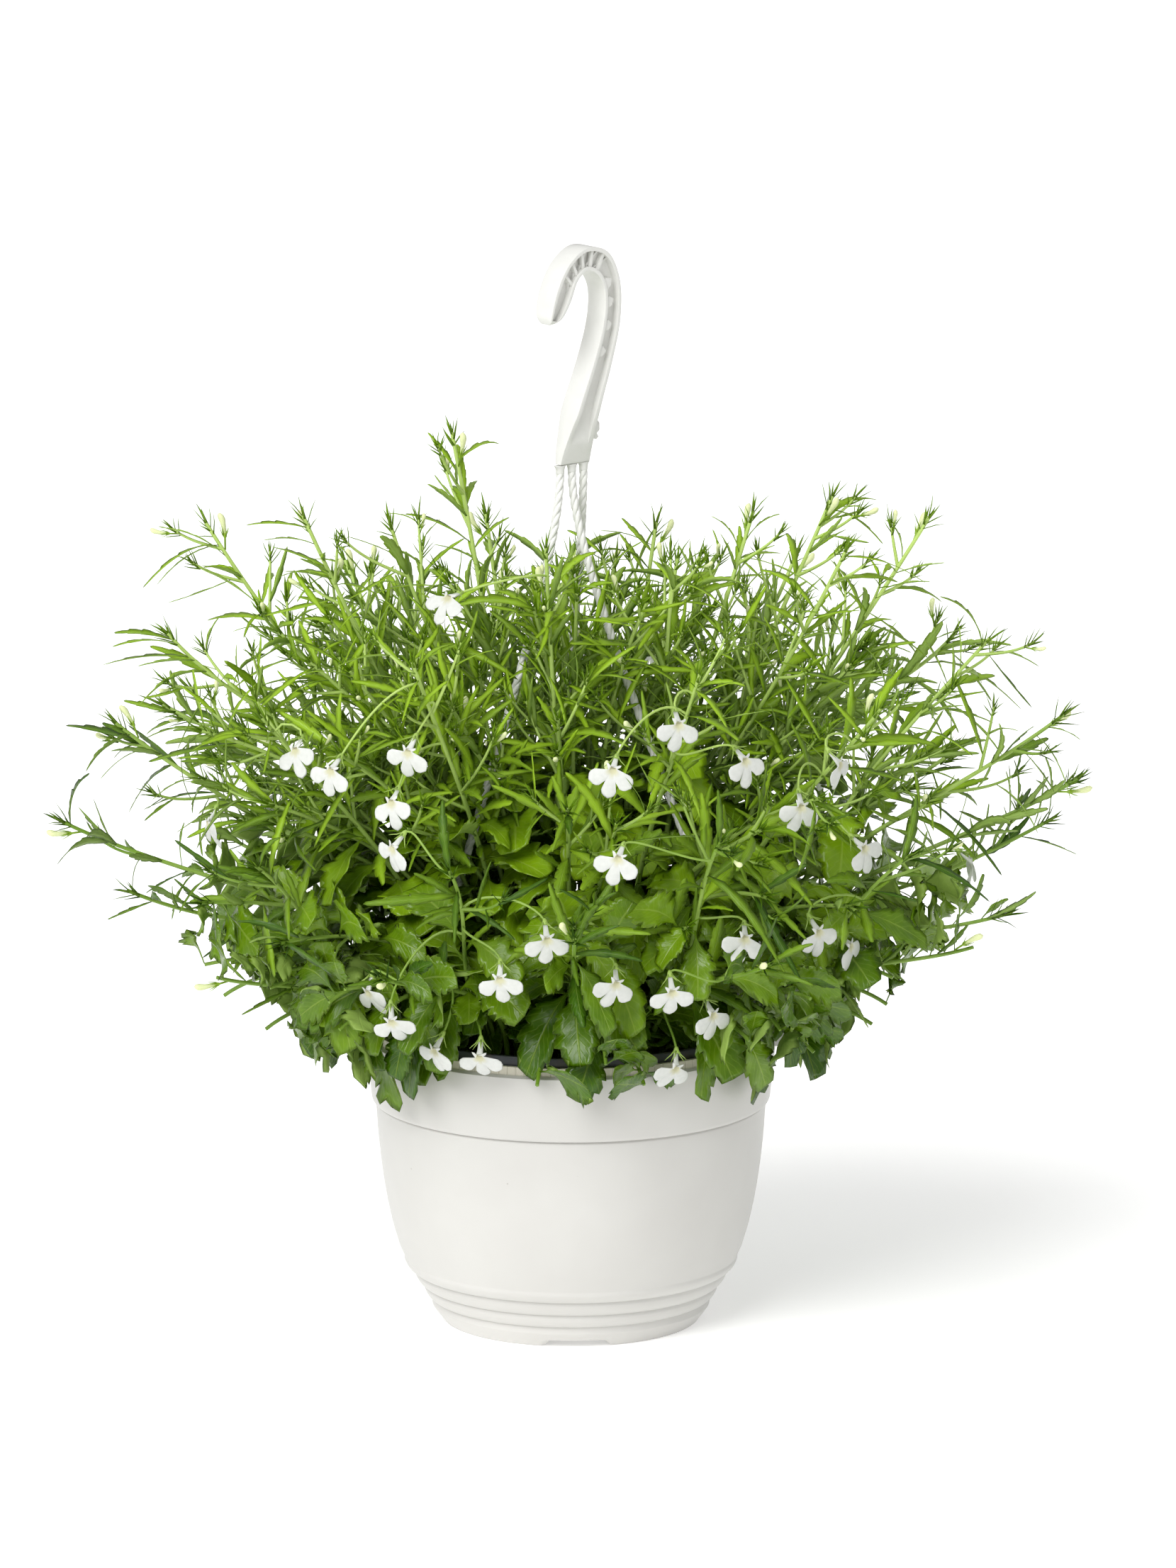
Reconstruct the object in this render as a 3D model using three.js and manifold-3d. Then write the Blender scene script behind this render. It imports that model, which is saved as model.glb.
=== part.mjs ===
// Trailing lobelia in its hanging pot: a white moulded outer pot, a dark inner pot filled with compost,
// a white hanger made of a hook and three cord-like legs, and the plant, a mound of leafy stems with
// toothed leaves, tufts of needle-fine bracts and white two-lipped flowers.
//
// Millimetres, +Z up, -Y is the front. The origin is the inside top of the hook, where the hook bears on
// what it hangs from. The pot and the plant are laid out from the centre of the pot's foot.

import * as THREE from 'three';
import { mergeVertices } from 'three/addons/utils/BufferGeometryUtils.js';
import Module from 'manifold-3d';

const wasm = await Module();
wasm.setup();

const GAP = 0.3;

// ---------------------------------------------------------------- finishes

function finish(color, roughness) {
  return new THREE.MeshStandardMaterial({ color, roughness, metalness: 0 });
}

const FINISHES = {
  pot: finish('#eceae6', 0.38),
  liner: finish('#2c3239', 0.5),
  soil: finish('#3b2b20', 0.95),
  hanger: finish('#f2f1ee', 0.35),
  leaf: finish('#5c8f2b', 0.5),
  petal: finish('#f4f3f1', 0.6),
};

// ---------------------------------------------------------------- solids

const WELD = 1e-4;

function solidOf(geometry) {
  const bare = new THREE.BufferGeometry();
  bare.setAttribute('position', geometry.getAttribute('position').clone());
  if (geometry.index) bare.setIndex(geometry.index.clone());
  const welded = mergeVertices(bare, WELD);
  const spots = welded.getAttribute('position');
  const corners = welded.index.array;
  const triangles = [];
  let volume = 0;
  for (let i = 0; i < corners.length; i += 3) {
    const [a, b, c] = [corners[i], corners[i + 1], corners[i + 2]];
    if (a === b || b === c || c === a) continue;
    const [p, q, r] = [a, b, c].map((k) => new THREE.Vector3().fromBufferAttribute(spots, k));
    volume += p.dot(q.cross(r));
    triangles.push(a, b, c);
  }
  if (volume < 0) triangles.reverse();
  return new wasm.Manifold(new wasm.Mesh({
    numProp: 3,
    vertProperties: new Float32Array(spots.array),
    triVerts: new Uint32Array(triangles),
  }));
}

function geometryOf(solid) {
  const { vertProperties, triVerts } = solid.getMesh();
  const geometry = new THREE.BufferGeometry();
  geometry.setAttribute('position', new THREE.BufferAttribute(new Float32Array(vertProperties), 3));
  geometry.setIndex(new THREE.BufferAttribute(new Uint32Array(triVerts), 1));
  geometry.computeVertexNormals();
  return geometry;
}

function piece(name, solid, material) {
  const mesh = new THREE.Mesh(geometryOf(solid), material);
  mesh.name = name;
  return mesh;
}

function turned(profile, sides) {
  const line = profile.map(([radius, height]) => new THREE.Vector2(radius, height));
  return new THREE.LatheGeometry(line, sides).rotateX(Math.PI / 2);
}

// A flat outline of [across, up] points, made solid from `near` to `far` along -Y.
function slab(outline, near, far) {
  const shape = new THREE.Shape(outline.map(([x, y]) => new THREE.Vector2(x, y)));
  const geometry = new THREE.ExtrudeGeometry(shape, { depth: far - near, bevelEnabled: false });
  return geometry.translate(0, 0, near).rotateX(Math.PI / 2);
}

// A body under way has its corners and its faces, each face three corner numbers.
function addRing(body, points) {
  const start = body.corners.length;
  body.corners.push(...points);
  return points.map((_, k) => start + k);
}

// The faces from one ring of corner numbers to the next; either ring may be one corner. `flipped` is the
// edge whose two faces are split along the other diagonal.
function band(near, far, flipped) {
  const faces = [];
  let k = 0;
  far.forEach((corner, i) => {
    const next = far[(i + 1) % far.length];
    if (i === flipped && near.length === far.length) {
      faces.push([near[i], near[(i + 1) % near.length], corner], [near[(i + 1) % near.length], next, corner]);
      k += 1;
      return;
    }
    if (far.length > 1) faces.push([near[k % near.length], next, corner]);
    const due = near.length > 1 ? Math.round((i + 1) * near.length / far.length) : 0;
    for (; k < due; k += 1) faces.push([near[k % near.length], near[(k + 1) % near.length], next]);
  });
  return faces;
}

// Carries a body on from a ring of its corners through rings of new points, up to the last of them.
function carryTo(body, from, rings, flipped) {
  let near = from;
  for (const points of rings) {
    const far = addRing(body, points);
    body.faces.push(...band(near, far, flipped));
    near = far;
  }
  return near;
}

// The same, and closes the body there.
function carryOn(body, from, rings, flipped) {
  const end = carryTo(body, from, rings, flipped);
  for (let k = 1; k < end.length - 1; k += 1) body.faces.push([end[0], end[k], end[k + 1]]);
}

// Carries a body on to a star, closes the star's points, and goes on from the corners between them.
function carryToStar(body, from, points) {
  const far = addRing(body, points);
  body.faces.push(...band(from, far));
  for (let k = 1; k < far.length; k += 2) body.faces.push([far[k - 1], far[k], far[(k + 1) % far.length]]);
  return far.filter((_, k) => k % 2 === 0);
}

function startBody(ring) {
  const body = { corners: [], faces: [] };
  const from = addRing(body, ring);
  for (let k = 1; k < from.length - 1; k += 1) body.faces.push([from[0], from[k + 1], from[k]]);
  return { body, from };
}

function bodyGeometry(body) {
  const geometry = new THREE.BufferGeometry();
  const spots = body.corners.flatMap((point) => point.toArray());
  geometry.setAttribute('position', new THREE.Float32BufferAttribute(spots, 3));
  geometry.setIndex(body.faces.flat());
  return geometry;
}

function fused(geometries) {
  const [first, ...others] = geometries.map(solidOf);
  return others.reduce((whole, part) => whole.add(part), first);
}

// ---------------------------------------------------------------- outer pot

const POT_SIDES = 32;
const FOOT = { radius: 63, inside: 58, height: 3.5, shoulder: [68.4, 6], notches: 4, notchTurn: 0.05 };
const NOTCH = [[-17, -1], [17, -1], [15, 2.6], [13.6, 3.5], [-13.6, 3.5], [-15, 2.6]];
const RIBS = [[67.8, 10.9], [72, 17.9], [76.8, 25.6], [81.8, 31.8]];
const RIB_BULGE = 1.5;
const WALL = [[84.4, 37.5], [88.8, 53], [93.2, 78], [96, 110.4]];
const BAND = [[97.9, 112.5], [101, 143]];
const LIP = { radius: 98.2, inside: 95.8, height: 148 };
const POT_INSIDE = [[95.8, 141], [86, 50], [63, 7]];
const LUG = { reach: 104.6, root: 98.8, width: 9, bottom: 137, top: 144 };

// Each base rib swells out between two grooves.
function ribProfile([[r0, z0], [r1, z1]]) {
  const slope = Math.atan2(z1 - z0, r1 - r0);
  const [outX, outZ] = [Math.sin(slope) * RIB_BULGE, -Math.cos(slope) * RIB_BULGE];
  const swell = (share) => [r0 + (r1 - r0) * share + outX, z0 + (z1 - z0) * share + outZ];
  return [[r0, z0], swell(0.25), swell(0.75)];
}

function makePot() {
  const ribs = RIBS.slice(1).flatMap((top, i) => ribProfile([RIBS[i], top]));
  const body = solidOf(turned([
    [0, FOOT.height], [FOOT.inside, FOOT.height], [FOOT.inside, 0], [FOOT.radius, 0],
    FOOT.shoulder, ...ribs, RIBS.at(-1), ...WALL, ...BAND,
    [LIP.radius, BAND.at(-1)[1] + 1], [LIP.radius, LIP.height], [LIP.inside, LIP.height],
    ...POT_INSIDE, [0, POT_INSIDE.at(-1)[1]],
  ], POT_SIDES));
  const lugs = [-1, 1].map((hand) => {
    const height = LUG.top - LUG.bottom;
    const reach = LUG.reach - LUG.root;
    const lug = new THREE.BoxGeometry(reach, LUG.width, height);
    return solidOf(lug.translate(hand * (LUG.root + reach / 2), 0, LUG.bottom + height / 2));
  });
  let pot = lugs.reduce((whole, lug) => whole.add(lug), body);
  for (let i = 0; i < FOOT.notches; i += 1) {
    const notch = slab(NOTCH, FOOT.inside - 3, FOOT.radius + 8);
    notch.rotateZ(FOOT.notchTurn + i * 2 * Math.PI / FOOT.notches);
    pot = pot.subtract(solidOf(notch));
  }
  return pot;
}

// ---------------------------------------------------------------- inner pot and compost

const LINER_SIDES = 22;
const LINER_INSIDE = [[93, 152.5], [93, 141], [88, 112], [79, 50], [58, 9.3]];
const LINER_OUTSIDE = [[60, 7.3], [81, 50], [90, 112], [95.1, 141], [95.1, 152.5]];
const SOIL_TOP = 138;
const SOIL_RINGS = [91, 48];
const SOIL_ROUGH = 2;
const SOIL_GAP = 0.5;
const HOLE = { depth: 14, radius: 4.4, sides: 3 };

function makeLiner() {
  const [under, floor] = [LINER_OUTSIDE[0][1], LINER_INSIDE.at(-1)[1]];
  return solidOf(turned([[0, under], ...LINER_OUTSIDE, ...LINER_INSIDE, [0, floor]], LINER_SIDES));
}

function soilHeight(x, y) {
  return SOIL_TOP + SOIL_ROUGH * Math.sin(x * 0.11 + 1) * Math.cos(y * 0.13);
}

function makeSoil(stems) {
  const wall = LINER_INSIDE.slice(2).reverse().map(([radius, height]) => [radius - SOIL_GAP, height]);
  wall[0][1] += SOIL_GAP;
  const top = SOIL_RINGS.map((radius) => [radius, SOIL_TOP]);
  const geometry = turned([[0, wall[0][1]], ...wall, ...top, [0, SOIL_TOP]], LINER_SIDES);
  const spots = geometry.getAttribute('position');
  for (let i = 0; i < spots.count; i += 1) {
    if (spots.getZ(i) < SOIL_TOP - 1) continue;
    spots.setZ(i, soilHeight(spots.getX(i), spots.getY(i)));
  }
  let soil = solidOf(geometry);
  for (const { curve: { v0: foot } } of stems) {
    const depth = HOLE.depth + 2 * SOIL_ROUGH;
    const hole = new THREE.CylinderGeometry(HOLE.radius, HOLE.radius, depth, HOLE.sides);
    hole.rotateX(Math.PI / 2).translate(foot.x, foot.y, SOIL_TOP - HOLE.depth + depth / 2);
    soil = soil.subtract(solidOf(hole));
  }
  return soil;
}

// ---------------------------------------------------------------- hanger: hook

// The hook's own frame: x runs from the tip's side to the shank's side, z up from the bearing point.
const HOOK_PLACE = new THREE.Vector3(4.2, 2, 523.2);
const HOOK_TURN = THREE.MathUtils.degToRad(42);
const HOOK_OUTSIDE = [[-22.6, -24.7], [-23.2, -19], [-19.6, -7], [-12, 4.6], [0, 11.3], [13.6, 7.4],
  [21, -7.5], [21, -27], [15.4, -48], [8, -70], [5.6, -88], [4.6, -98.3]];
const HOOK_INSIDE = [[-20.6, -24.7], [-15.8, -21.6], [-11, -13.6], [-6.6, -4.2], [0, 0], [7.2, -3.7],
  [11.3, -13], [10, -28], [3.6, -46.6], [-6, -68.6], [-12.4, -87], [-14.6, -98.3]];
const HOOK_STEPS = 22;
const POCKET_STEPS = 16;
const HOOK_REACH = 30;
const HOOK_FLANGE = 0.17;
const HOOK_WIDTHS = [[14, 6.5], [-70, 6.5], [-80, 4.4], [-88, 3.1], [-95, 2], [-99, 2]];
const HOOK_WEB = 1.6;
const POCKET = { from: 0.05, to: 0.86 };
const HOOK_RIBS = [0.3, 0.36, 0.42, 0.48];
const HOOK_BLOCKS = [0.57, 0.63, 0.7];
const RIB_HALF = 0.8;
const BLOCK_HALF = 3.2;
const BLOCK_FROM = 0.5;
// The stud at the plate's edge, as [out, up] points from its root, which is sunk in the plate.
const STUD = { run: 0.88, sunk: 1.5, half: 2,
  outline: [[0, -83.5], [5.6, -85], [5.6, -82], [7.1, -80.5], [7.1, -77], [5.1, -75], [0, -77]] };
const LEG_ROOTS = [-12.6, -5, 2.6];
const LEG_WIDTH = 4.2;
// The arch between two legs: how high its crown and its shoulders stand above the hook's foot.
const CROTCH = { crown: 3.3, shoulder: 2.1 };
// How far a shape that cuts runs past what it cuts.
const PAST = 1;

const hookOutside = new THREE.SplineCurve(HOOK_OUTSIDE.map(([x, z]) => new THREE.Vector2(x, z)));
const hookInside = new THREE.SplineCurve(HOOK_INSIDE.map(([x, z]) => new THREE.Vector2(x, z)));

// A point of the hook: `run` goes from the tip to the plate, `depth` from the outer to the inner edge.
function hookPoint(run, depth) {
  return hookOutside.getPoint(run).lerp(hookInside.getPoint(run), depth);
}

function hookStrip(from, to, outer, inner, steps) {
  const outline = [];
  for (let i = 0; i <= steps; i += 1) outline.push(hookPoint(from + (to - from) * i / steps, outer));
  for (let i = steps; i >= 0; i -= 1) outline.push(hookPoint(from + (to - from) * i / steps, inner));
  return outline.map((point) => [point.x, point.y]);
}

// A rib or block across the channel, square to the hook's run.
function hookBar(run, half, outer, inner) {
  const [a, b] = [hookPoint(run, outer), hookPoint(run, inner)];
  const along = new THREE.Vector2(b.y - a.y, a.x - b.x).setLength(half);
  return [[a.x - along.x, a.y - along.y], [a.x + along.x, a.y + along.y],
    [b.x + along.x, b.y + along.y], [b.x - along.x, b.y - along.y]];
}

function makeHook() {
  const wide = HOOK_WIDTHS[0][1];
  let hook = solidOf(slab(hookStrip(0, 1, 0, 1, HOOK_STEPS), -wide, wide));
  for (const hand of [-1, 1]) {
    const [near, far] = hand > 0 ? [HOOK_WEB, wide + PAST] : [-wide - PAST, -HOOK_WEB];
    let pocket = solidOf(slab(
      hookStrip(POCKET.from, POCKET.to, HOOK_FLANGE, 1 - HOOK_FLANGE, POCKET_STEPS), near, far));
    const bars = HOOK_RIBS.map((run) => hookBar(run, RIB_HALF, 0, 1));
    bars.push(...HOOK_BLOCKS.map((run) => hookBar(run, BLOCK_HALF, BLOCK_FROM, 1)));
    for (const bar of bars) pocket = pocket.subtract(solidOf(slab(bar, near - PAST, far + PAST)));
    hook = hook.subtract(pocket);
  }
  const sides = [...HOOK_WIDTHS, ...HOOK_WIDTHS.map(([z, half]) => [z, -half]).reverse()];
  const taper = slab(sides.map(([z, half]) => [half, z]), -HOOK_REACH, HOOK_REACH).rotateZ(Math.PI / 2);
  hook = hook.intersect(solidOf(taper));
  for (const [i, left] of LEG_ROOTS.slice(0, -1).entries()) {
    const [from, to] = [left + LEG_WIDTH / 2, LEG_ROOTS[i + 1] - LEG_WIDTH / 2];
    const floor = HOOK_OUTSIDE.at(-1)[1];
    const shoulder = floor + CROTCH.shoulder;
    const crown = [(from + to) / 2, floor + CROTCH.crown];
    const arch = [[from, floor - PAST], [to, floor - PAST], [to, shoulder], crown, [from, shoulder]];
    hook = hook.subtract(solidOf(slab(arch, -wide, wide)));
  }
  const root = hookOutside.getPoint(STUD.run).x - STUD.sunk;
  const stud = STUD.outline.map(([out, up]) => [root + out, up]);
  return hook.add(solidOf(slab(stud, -STUD.half, STUD.half)));
}

// ---------------------------------------------------------------- hanger: legs

const LEG_RADIUS = 2.1;
const LEG_SIDES = 6;
const LEG_STEPS = 11;
const LEGS = [
  { name: 'strand_left', root: -12.6, azimuth: -52 },
  { name: 'strand_right', root: -5, azimuth: 68 },
  { name: 'strand_back', root: 2.6, azimuth: 188 },
];
// The clip at a leg's foot is an upturned U over the rims of both pots, in [from the axis, up] points.
const CLIP = [[89.7, 143], [91.7, 143], [91.7, 152.8], [98.5, 152.8], [98.5, 144.6], [100.7, 144.6],
  [100.7, 155], [99.6, 156.2], [90.8, 156.2], [89.7, 155]];
const CLIP_WIDTH = 8;
// Where a leg runs into its clip, and how it comes there: straight down at first, then over.
const CLIP_CENTRE = 95;
const CLIP_JOIN = 155.2;
const LEG_DROP = 50;
const LEG_BEND = 0.6;

function around(azimuth, radius, height) {
  const angle = THREE.MathUtils.degToRad(azimuth);
  return new THREE.Vector3(radius * Math.sin(angle), -radius * Math.cos(angle), height);
}

function legCurve({ root, azimuth }) {
  const start = new THREE.Vector3(root * Math.cos(HOOK_TURN), root * Math.sin(HOOK_TURN), 0).add(HOOK_PLACE);
  start.z += HOOK_OUTSIDE.at(-1)[1] - GAP;
  const end = around(azimuth, CLIP_CENTRE, CLIP_JOIN);
  const down = new THREE.Vector3(0, 0, -LEG_DROP).add(start);
  const bend = start.clone().lerp(end, LEG_BEND);
  return new THREE.CubicBezierCurve3(start, down, bend, end);
}

function makeLeg(leg) {
  const section = new THREE.Shape();
  for (let k = 0; k < LEG_SIDES; k += 1) {
    const angle = k * 2 * Math.PI / LEG_SIDES;
    const [x, y] = [LEG_RADIUS * Math.cos(angle), LEG_RADIUS * Math.sin(angle)];
    if (k === 0) section.moveTo(x, y);
    else section.lineTo(x, y);
  }
  section.closePath();
  const path = { steps: LEG_STEPS, extrudePath: legCurve(leg), bevelEnabled: false };
  const clip = slab(CLIP, -CLIP_WIDTH / 2, CLIP_WIDTH / 2);
  clip.rotateZ(THREE.MathUtils.degToRad(leg.azimuth - 90));
  return fused([new THREE.ExtrudeGeometry(section, path), clip]);
}

// ---------------------------------------------------------------- the plant's plan

// One draw sequence serves the whole plant, so it grows the same way every time.
const SEED = 20261;
let drawn = SEED;
function draw(low = 0, high = 1) {
  drawn = (drawn * 1664525 + 1013904223) % 4294967296;
  return low + (high - low) * drawn / 4294967296;
}

// Each stem has the tip of its main shoot and, on most, that of a side shoot.
const STEMS = [
  [[-250, -10, 252], [-216, -42, 224]],
  [[-223, 20, 294], [-188, 72, 300]],
  [[249, 0, 271], [236, 32, 243]],
  [[240, -30, 309], [204, -12, 343]],
  [[-178, 10, 396], [-196, -24, 348]],
  [[-130, -30, 408]],
  [[175, 15, 398], [190, 76, 328]],
  [[-172, -66, 186], [-152, -104, 250]],
  [[196, -48, 197], [165, -112, 258]],
  [[-92, -150, 206], [-58, -168, 262]],
  [[2, -182, 232]],
  [[96, -158, 214], [72, -166, 276]],
  [[-150, -92, 322]],
  [[150, -95, 326]],
  [[-76, -112, 352]],
  [[62, -122, 348]],
  [[-58, 20, 439], [-88, -26, 404]],
  [[-12, -52, 396]],
  [[89, 0, 404], [52, -34, 388]],
  [[128, 32, 405], [134, -42, 394]],
  [[42, 62, 386], [94, 60, 324]],
  [[-42, 82, 386], [-98, 54, 322]],
  [[-112, 116, 356], [-152, 112, 288]],
  [[0, 146, 352]],
  [[112, 116, 360], [152, 114, 300]],
  [[-118, 160, 214], [-168, 84, 186]],
  [[0, 190, 236], [46, 180, 272]],
  [[122, 156, 220], [172, 88, 188]],
];
const SHOOT = { foot: 1.7, tip: 1.05, side: 1.2, fork: 0.42, steps: 6, sideSteps: 5 };
const SIDES = 3;
// A main shoot's course: the ring its foot stands in, how it rises and bends over, and how much is drawn.
const COURSE = { nearest: 12, further: 0.31, furthest: 70, sunk: 4, rise: 20, risesBy: 0.35, bend: 0.36,
  sway: 0.12, low: -4, high: 8, tries: 16, clearFrom: 0.03, levelFrom: 0.04 };
const SIDE_COURSE = { along: 0.24, out: 0.16, bend: 0.35 };
// A shoot's heading at its tip: the higher the tip stands, the more steeply it points up.
const TIP_COURSE = { out: 220, low: 150, steeper: 200, least: 0.1, most: 1.4 };

// What each kind of leaf measures. `outline` gives half widths along the blade as [along, across] shares.
const LEAVES = {
  broad: {
    length: 37, width: 24, spread: 1.15, curl: 0.1, sag: 0.34, thick: 0.8,
    outline: [[0.44, 0.78], [0.57, 0.62], [0.76, 1], [1, 0.24]],
  },
  middle: {
    length: 35, width: 9.5, spread: 0.85, curl: 0.16, sag: 0.06, thick: 1,
    outline: [[0.35, 0.62], [0.7, 1]],
  },
  narrow: { length: 28, width: 4.4, spread: 0.68, curl: 0.12, sag: 0, thick: 1, outline: [[0.45, 1]] },
};
const LEAF_FOOT = [0, 0.05];
const LEAF_END = [1.001, 0.2];
const LEAF_ROOM = { back: 0.4, over: 0.5 };
// The root of what grows from a stem's facet: its half width as a share of the facet, and half its height.
const ROOT = { across: 0.26, along: 0.6 };
const BROAD_OUTER = [0.1, 0.18, 0.27, 0.36];
const BROAD_INNER = [0.15, 0.27];
const MIDDLE_AT = [0.45, 0.57];
const NARROW_AT = [0.7, 0.84];
const SIDE_AT = [0.3, 0.5, 0.68, 0.84];
// Shoots that end further out than OUTER bear more broad leaves, and so do side shoots that end below LOW.
const OUTER = 150;
const LOW = 200;
const LOW_BROAD = 0.6;
const LEVEL_TRIES = [0, 1, -1];
const NEAR_OWN = 0.45;
// The tuft at a shoot's tip: bracts round a middle one, from `inner` to `outer` as [out, ahead].
const TUFT = { count: 5, length: 12, inner: [1.2, 1.6], outer: [6.2, 9.5] };

// Flowers, placed by the mouth of each.
const BLOOMS = [
  [-3, -133, 353], [52, -139, 327], [20, -158, 308], [-12, -148, 331], [-78, -137, 313], [-86, -144, 290],
  [-86, -148, 268], [-133, -98, 308], [-116, -120, 300], [111, -127, 284], [84, -137, 309], [142, -101, 258],
  [116, -94, 337], [26, -166, 265], [-6, -162, 230], [22, -150, 202], [49, -142, 196], [68, -124, 180],
  [84, -135, 221], [86, -132, 202], [120, -108, 218], [136, -86, 206], [-98, -108, 188], [-80, -122, 191],
  [-66, -112, 160], [-44, -118, 158], [-34, -149, 204], [51, -116, 152], [130, -109, 301], [196, 0, 230],
  [-176, -46, 256], [-156, 0, 180], [-68, -92, 385], [-46, -110, 372], [64, -108, 369],
  [-90, 150, 280], [40, 170, 300], [130, 120, 250], [-150, 90, 240], [10, 165, 220],
];
const BLOOM_NODES = 24;
const BLOOM = { thick: 0.8, tube: 8.5, mouthRadius: 1.7, tubeRadius: 1.15, tubeLean: 0.72, tubeSides: 4,
  neck: 0.2, spin: -13 / 12 * Math.PI };
// A flower faces out from the middle of the plant at `middle`, give or take what is drawn.
const BLOOM_FACE = { middle: 240, tilt: 0.5, aside: 0.35, down: -0.3, up: 0.15, roll: 0.35, tries: 14,
  shift: 1.1 };
// The room that a flower takes up, as [across, up, out, radius] in front and [back, radius] down its tube.
const FACE_ROOM = [[0, -6.5, -0.6, 4.8], [-6, -3.4, -0.6, 4.8], [6, -3.4, -0.6, 4.8], [0, 0, -0.4, 3.4],
  [-2.4, 4, -0.8, 3.2], [2.4, 4, -0.8, 3.2]];
const TUBE_ROOM = [[4, 2.9], [7.4, 2.2]];
// The lips as [degrees from straight down, reach, lift]: three broad lower lobes, two slim upper ones.
const LIPS = [[-110, 2, 0], [-88, 8, -0.6], [-56, 10.6, -0.8], [-27, 7.2, -0.4], [-15, 10.8, -1],
  [0, 11.2, -1.4], [15, 10.8, -1], [27, 7.2, -0.4], [56, 10.6, -0.8], [88, 8, -0.6], [110, 2, 0],
  [130, 5.2, -1.4], [180, 1.3, 0], [230, 5.2, -1.4]];
const PEDICEL = { thick: 0.6, calyx: 1.45, least: 14, most: 46, arch: 9, sepals: 5, sepal: [4.8, 2.2],
  cup: 0.8, neck: 1.6, out: 0.4, along: 0.2, from: 2, tries: 12 };
// Where along a stalk its corners stand, and how much of its heading it keeps from one to the next.
const STALK_AT = [0, 0.3, 0.6, 0.85, 1];
const STALK_KEEPS = 0.35;
const BUD = { at: 0.92, spread: 0.6, stalk: 7, swell: 13, length: 18, thick: 1.7, room: [5, 10, 15] };

// Balls of space that each piece takes up, kept in a grid, so that pieces of different nodes stay apart.
const CELL = 14;
const taken = new Map();
const cellOf = (value) => Math.floor(value / CELL);

function take(balls, owner) {
  for (const { at, radius } of balls) {
    const key = [at.x, at.y, at.z].map(cellOf).join();
    if (!taken.has(key)) taken.set(key, []);
    taken.get(key).push({ at, radius, owner });
  }
}

function giveBack(owner) {
  for (const [key, balls] of taken) taken.set(key, balls.filter((ball) => ball.owner !== owner));
}

const POT_ZONE = { inside: 88, outside: 103, top: 154, soil: 141 };

function meetsPot({ at, radius }) {
  const out = Math.hypot(at.x, at.y);
  if (at.z - radius > POT_ZONE.top) return false;
  if (out + radius < POT_ZONE.inside) return at.z - radius < POT_ZONE.soil;
  return out - radius < POT_ZONE.outside;
}

function isFree(balls, owners) {
  for (const ball of balls) {
    if (meetsPot(ball)) return false;
    const [i, j, k] = [ball.at.x, ball.at.y, ball.at.z].map(cellOf);
    for (let a = i - 1; a <= i + 1; a += 1) {
      for (let b = j - 1; b <= j + 1; b += 1) {
        for (let c = k - 1; c <= k + 1; c += 1) {
          for (const other of taken.get(`${a},${b},${c}`) ?? []) {
            if (owners.includes(other.owner)) continue;
            const reach = ball.radius + other.radius;
            if (ball.at.distanceToSquared(other.at) < reach * reach) return false;
          }
        }
      }
    }
  }
  return true;
}

function heading({ v0, v1, v2, v3 }, t) {
  const s = 1 - t;
  return new THREE.Vector3()
    .addScaledVector(v1.clone().sub(v0), s * s)
    .addScaledVector(v2.clone().sub(v1), 2 * s * t)
    .addScaledVector(v3.clone().sub(v2), t * t)
    .normalize();
}

const BALL_STEP = 5;
const CURVE_SLACK = 1.15;

function curveBalls(curve, thick, from = 0) {
  const reach = curve.v0.distanceTo(curve.v3);
  const count = Math.ceil(reach * CURVE_SLACK / BALL_STEP);
  const balls = [];
  for (let i = 0; i <= count; i += 1) {
    const t = from + (1 - from) * i / count;
    balls.push({ at: curve.getPoint(t), radius: Math.hypot(BALL_STEP / 2, thick) + GAP });
  }
  return balls;
}

// ---- shoots

const UP = new THREE.Vector3(0, 0, 1);

function tipHeading(tip) {
  const out = new THREE.Vector3(tip.x, tip.y, 0);
  const { low, steeper, least, most } = TIP_COURSE;
  const lift = THREE.MathUtils.clamp((tip.z - low) / steeper + least, least, most);
  return out.divideScalar(TIP_COURSE.out).addScaledVector(UP, lift).normalize();
}

function mainCurve(tip, sway, lift) {
  const reach = Math.hypot(tip.x, tip.y);
  const angle = Math.atan2(tip.y, tip.x) + sway;
  const radius = Math.min(COURSE.furthest, COURSE.nearest + COURSE.further * reach);
  const foot = new THREE.Vector3(radius * Math.cos(angle), radius * Math.sin(angle), SOIL_TOP + COURSE.sunk);
  const rise = foot.clone().addScaledVector(UP, COURSE.risesBy * (tip.z - foot.z) + COURSE.rise + lift);
  const chord = foot.distanceTo(tip);
  const bend = tip.clone().addScaledVector(tipHeading(tip), -COURSE.bend * chord);
  return new THREE.CubicBezierCurve3(foot, rise, bend, tip);
}

// A shoot's own axes at `t`: along it, level across it, and square to both.
function frameAt({ curve }, t) {
  const along = heading(curve, t);
  const level = heading(curve, Math.max(t, COURSE.levelFrom)).cross(UP).normalize();
  return { along, level, raised: along.clone().cross(level).normalize() };
}

const stepsOf = (shoot) => (shoot.main ? SHOOT.steps : SHOOT.sideSteps);

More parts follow.
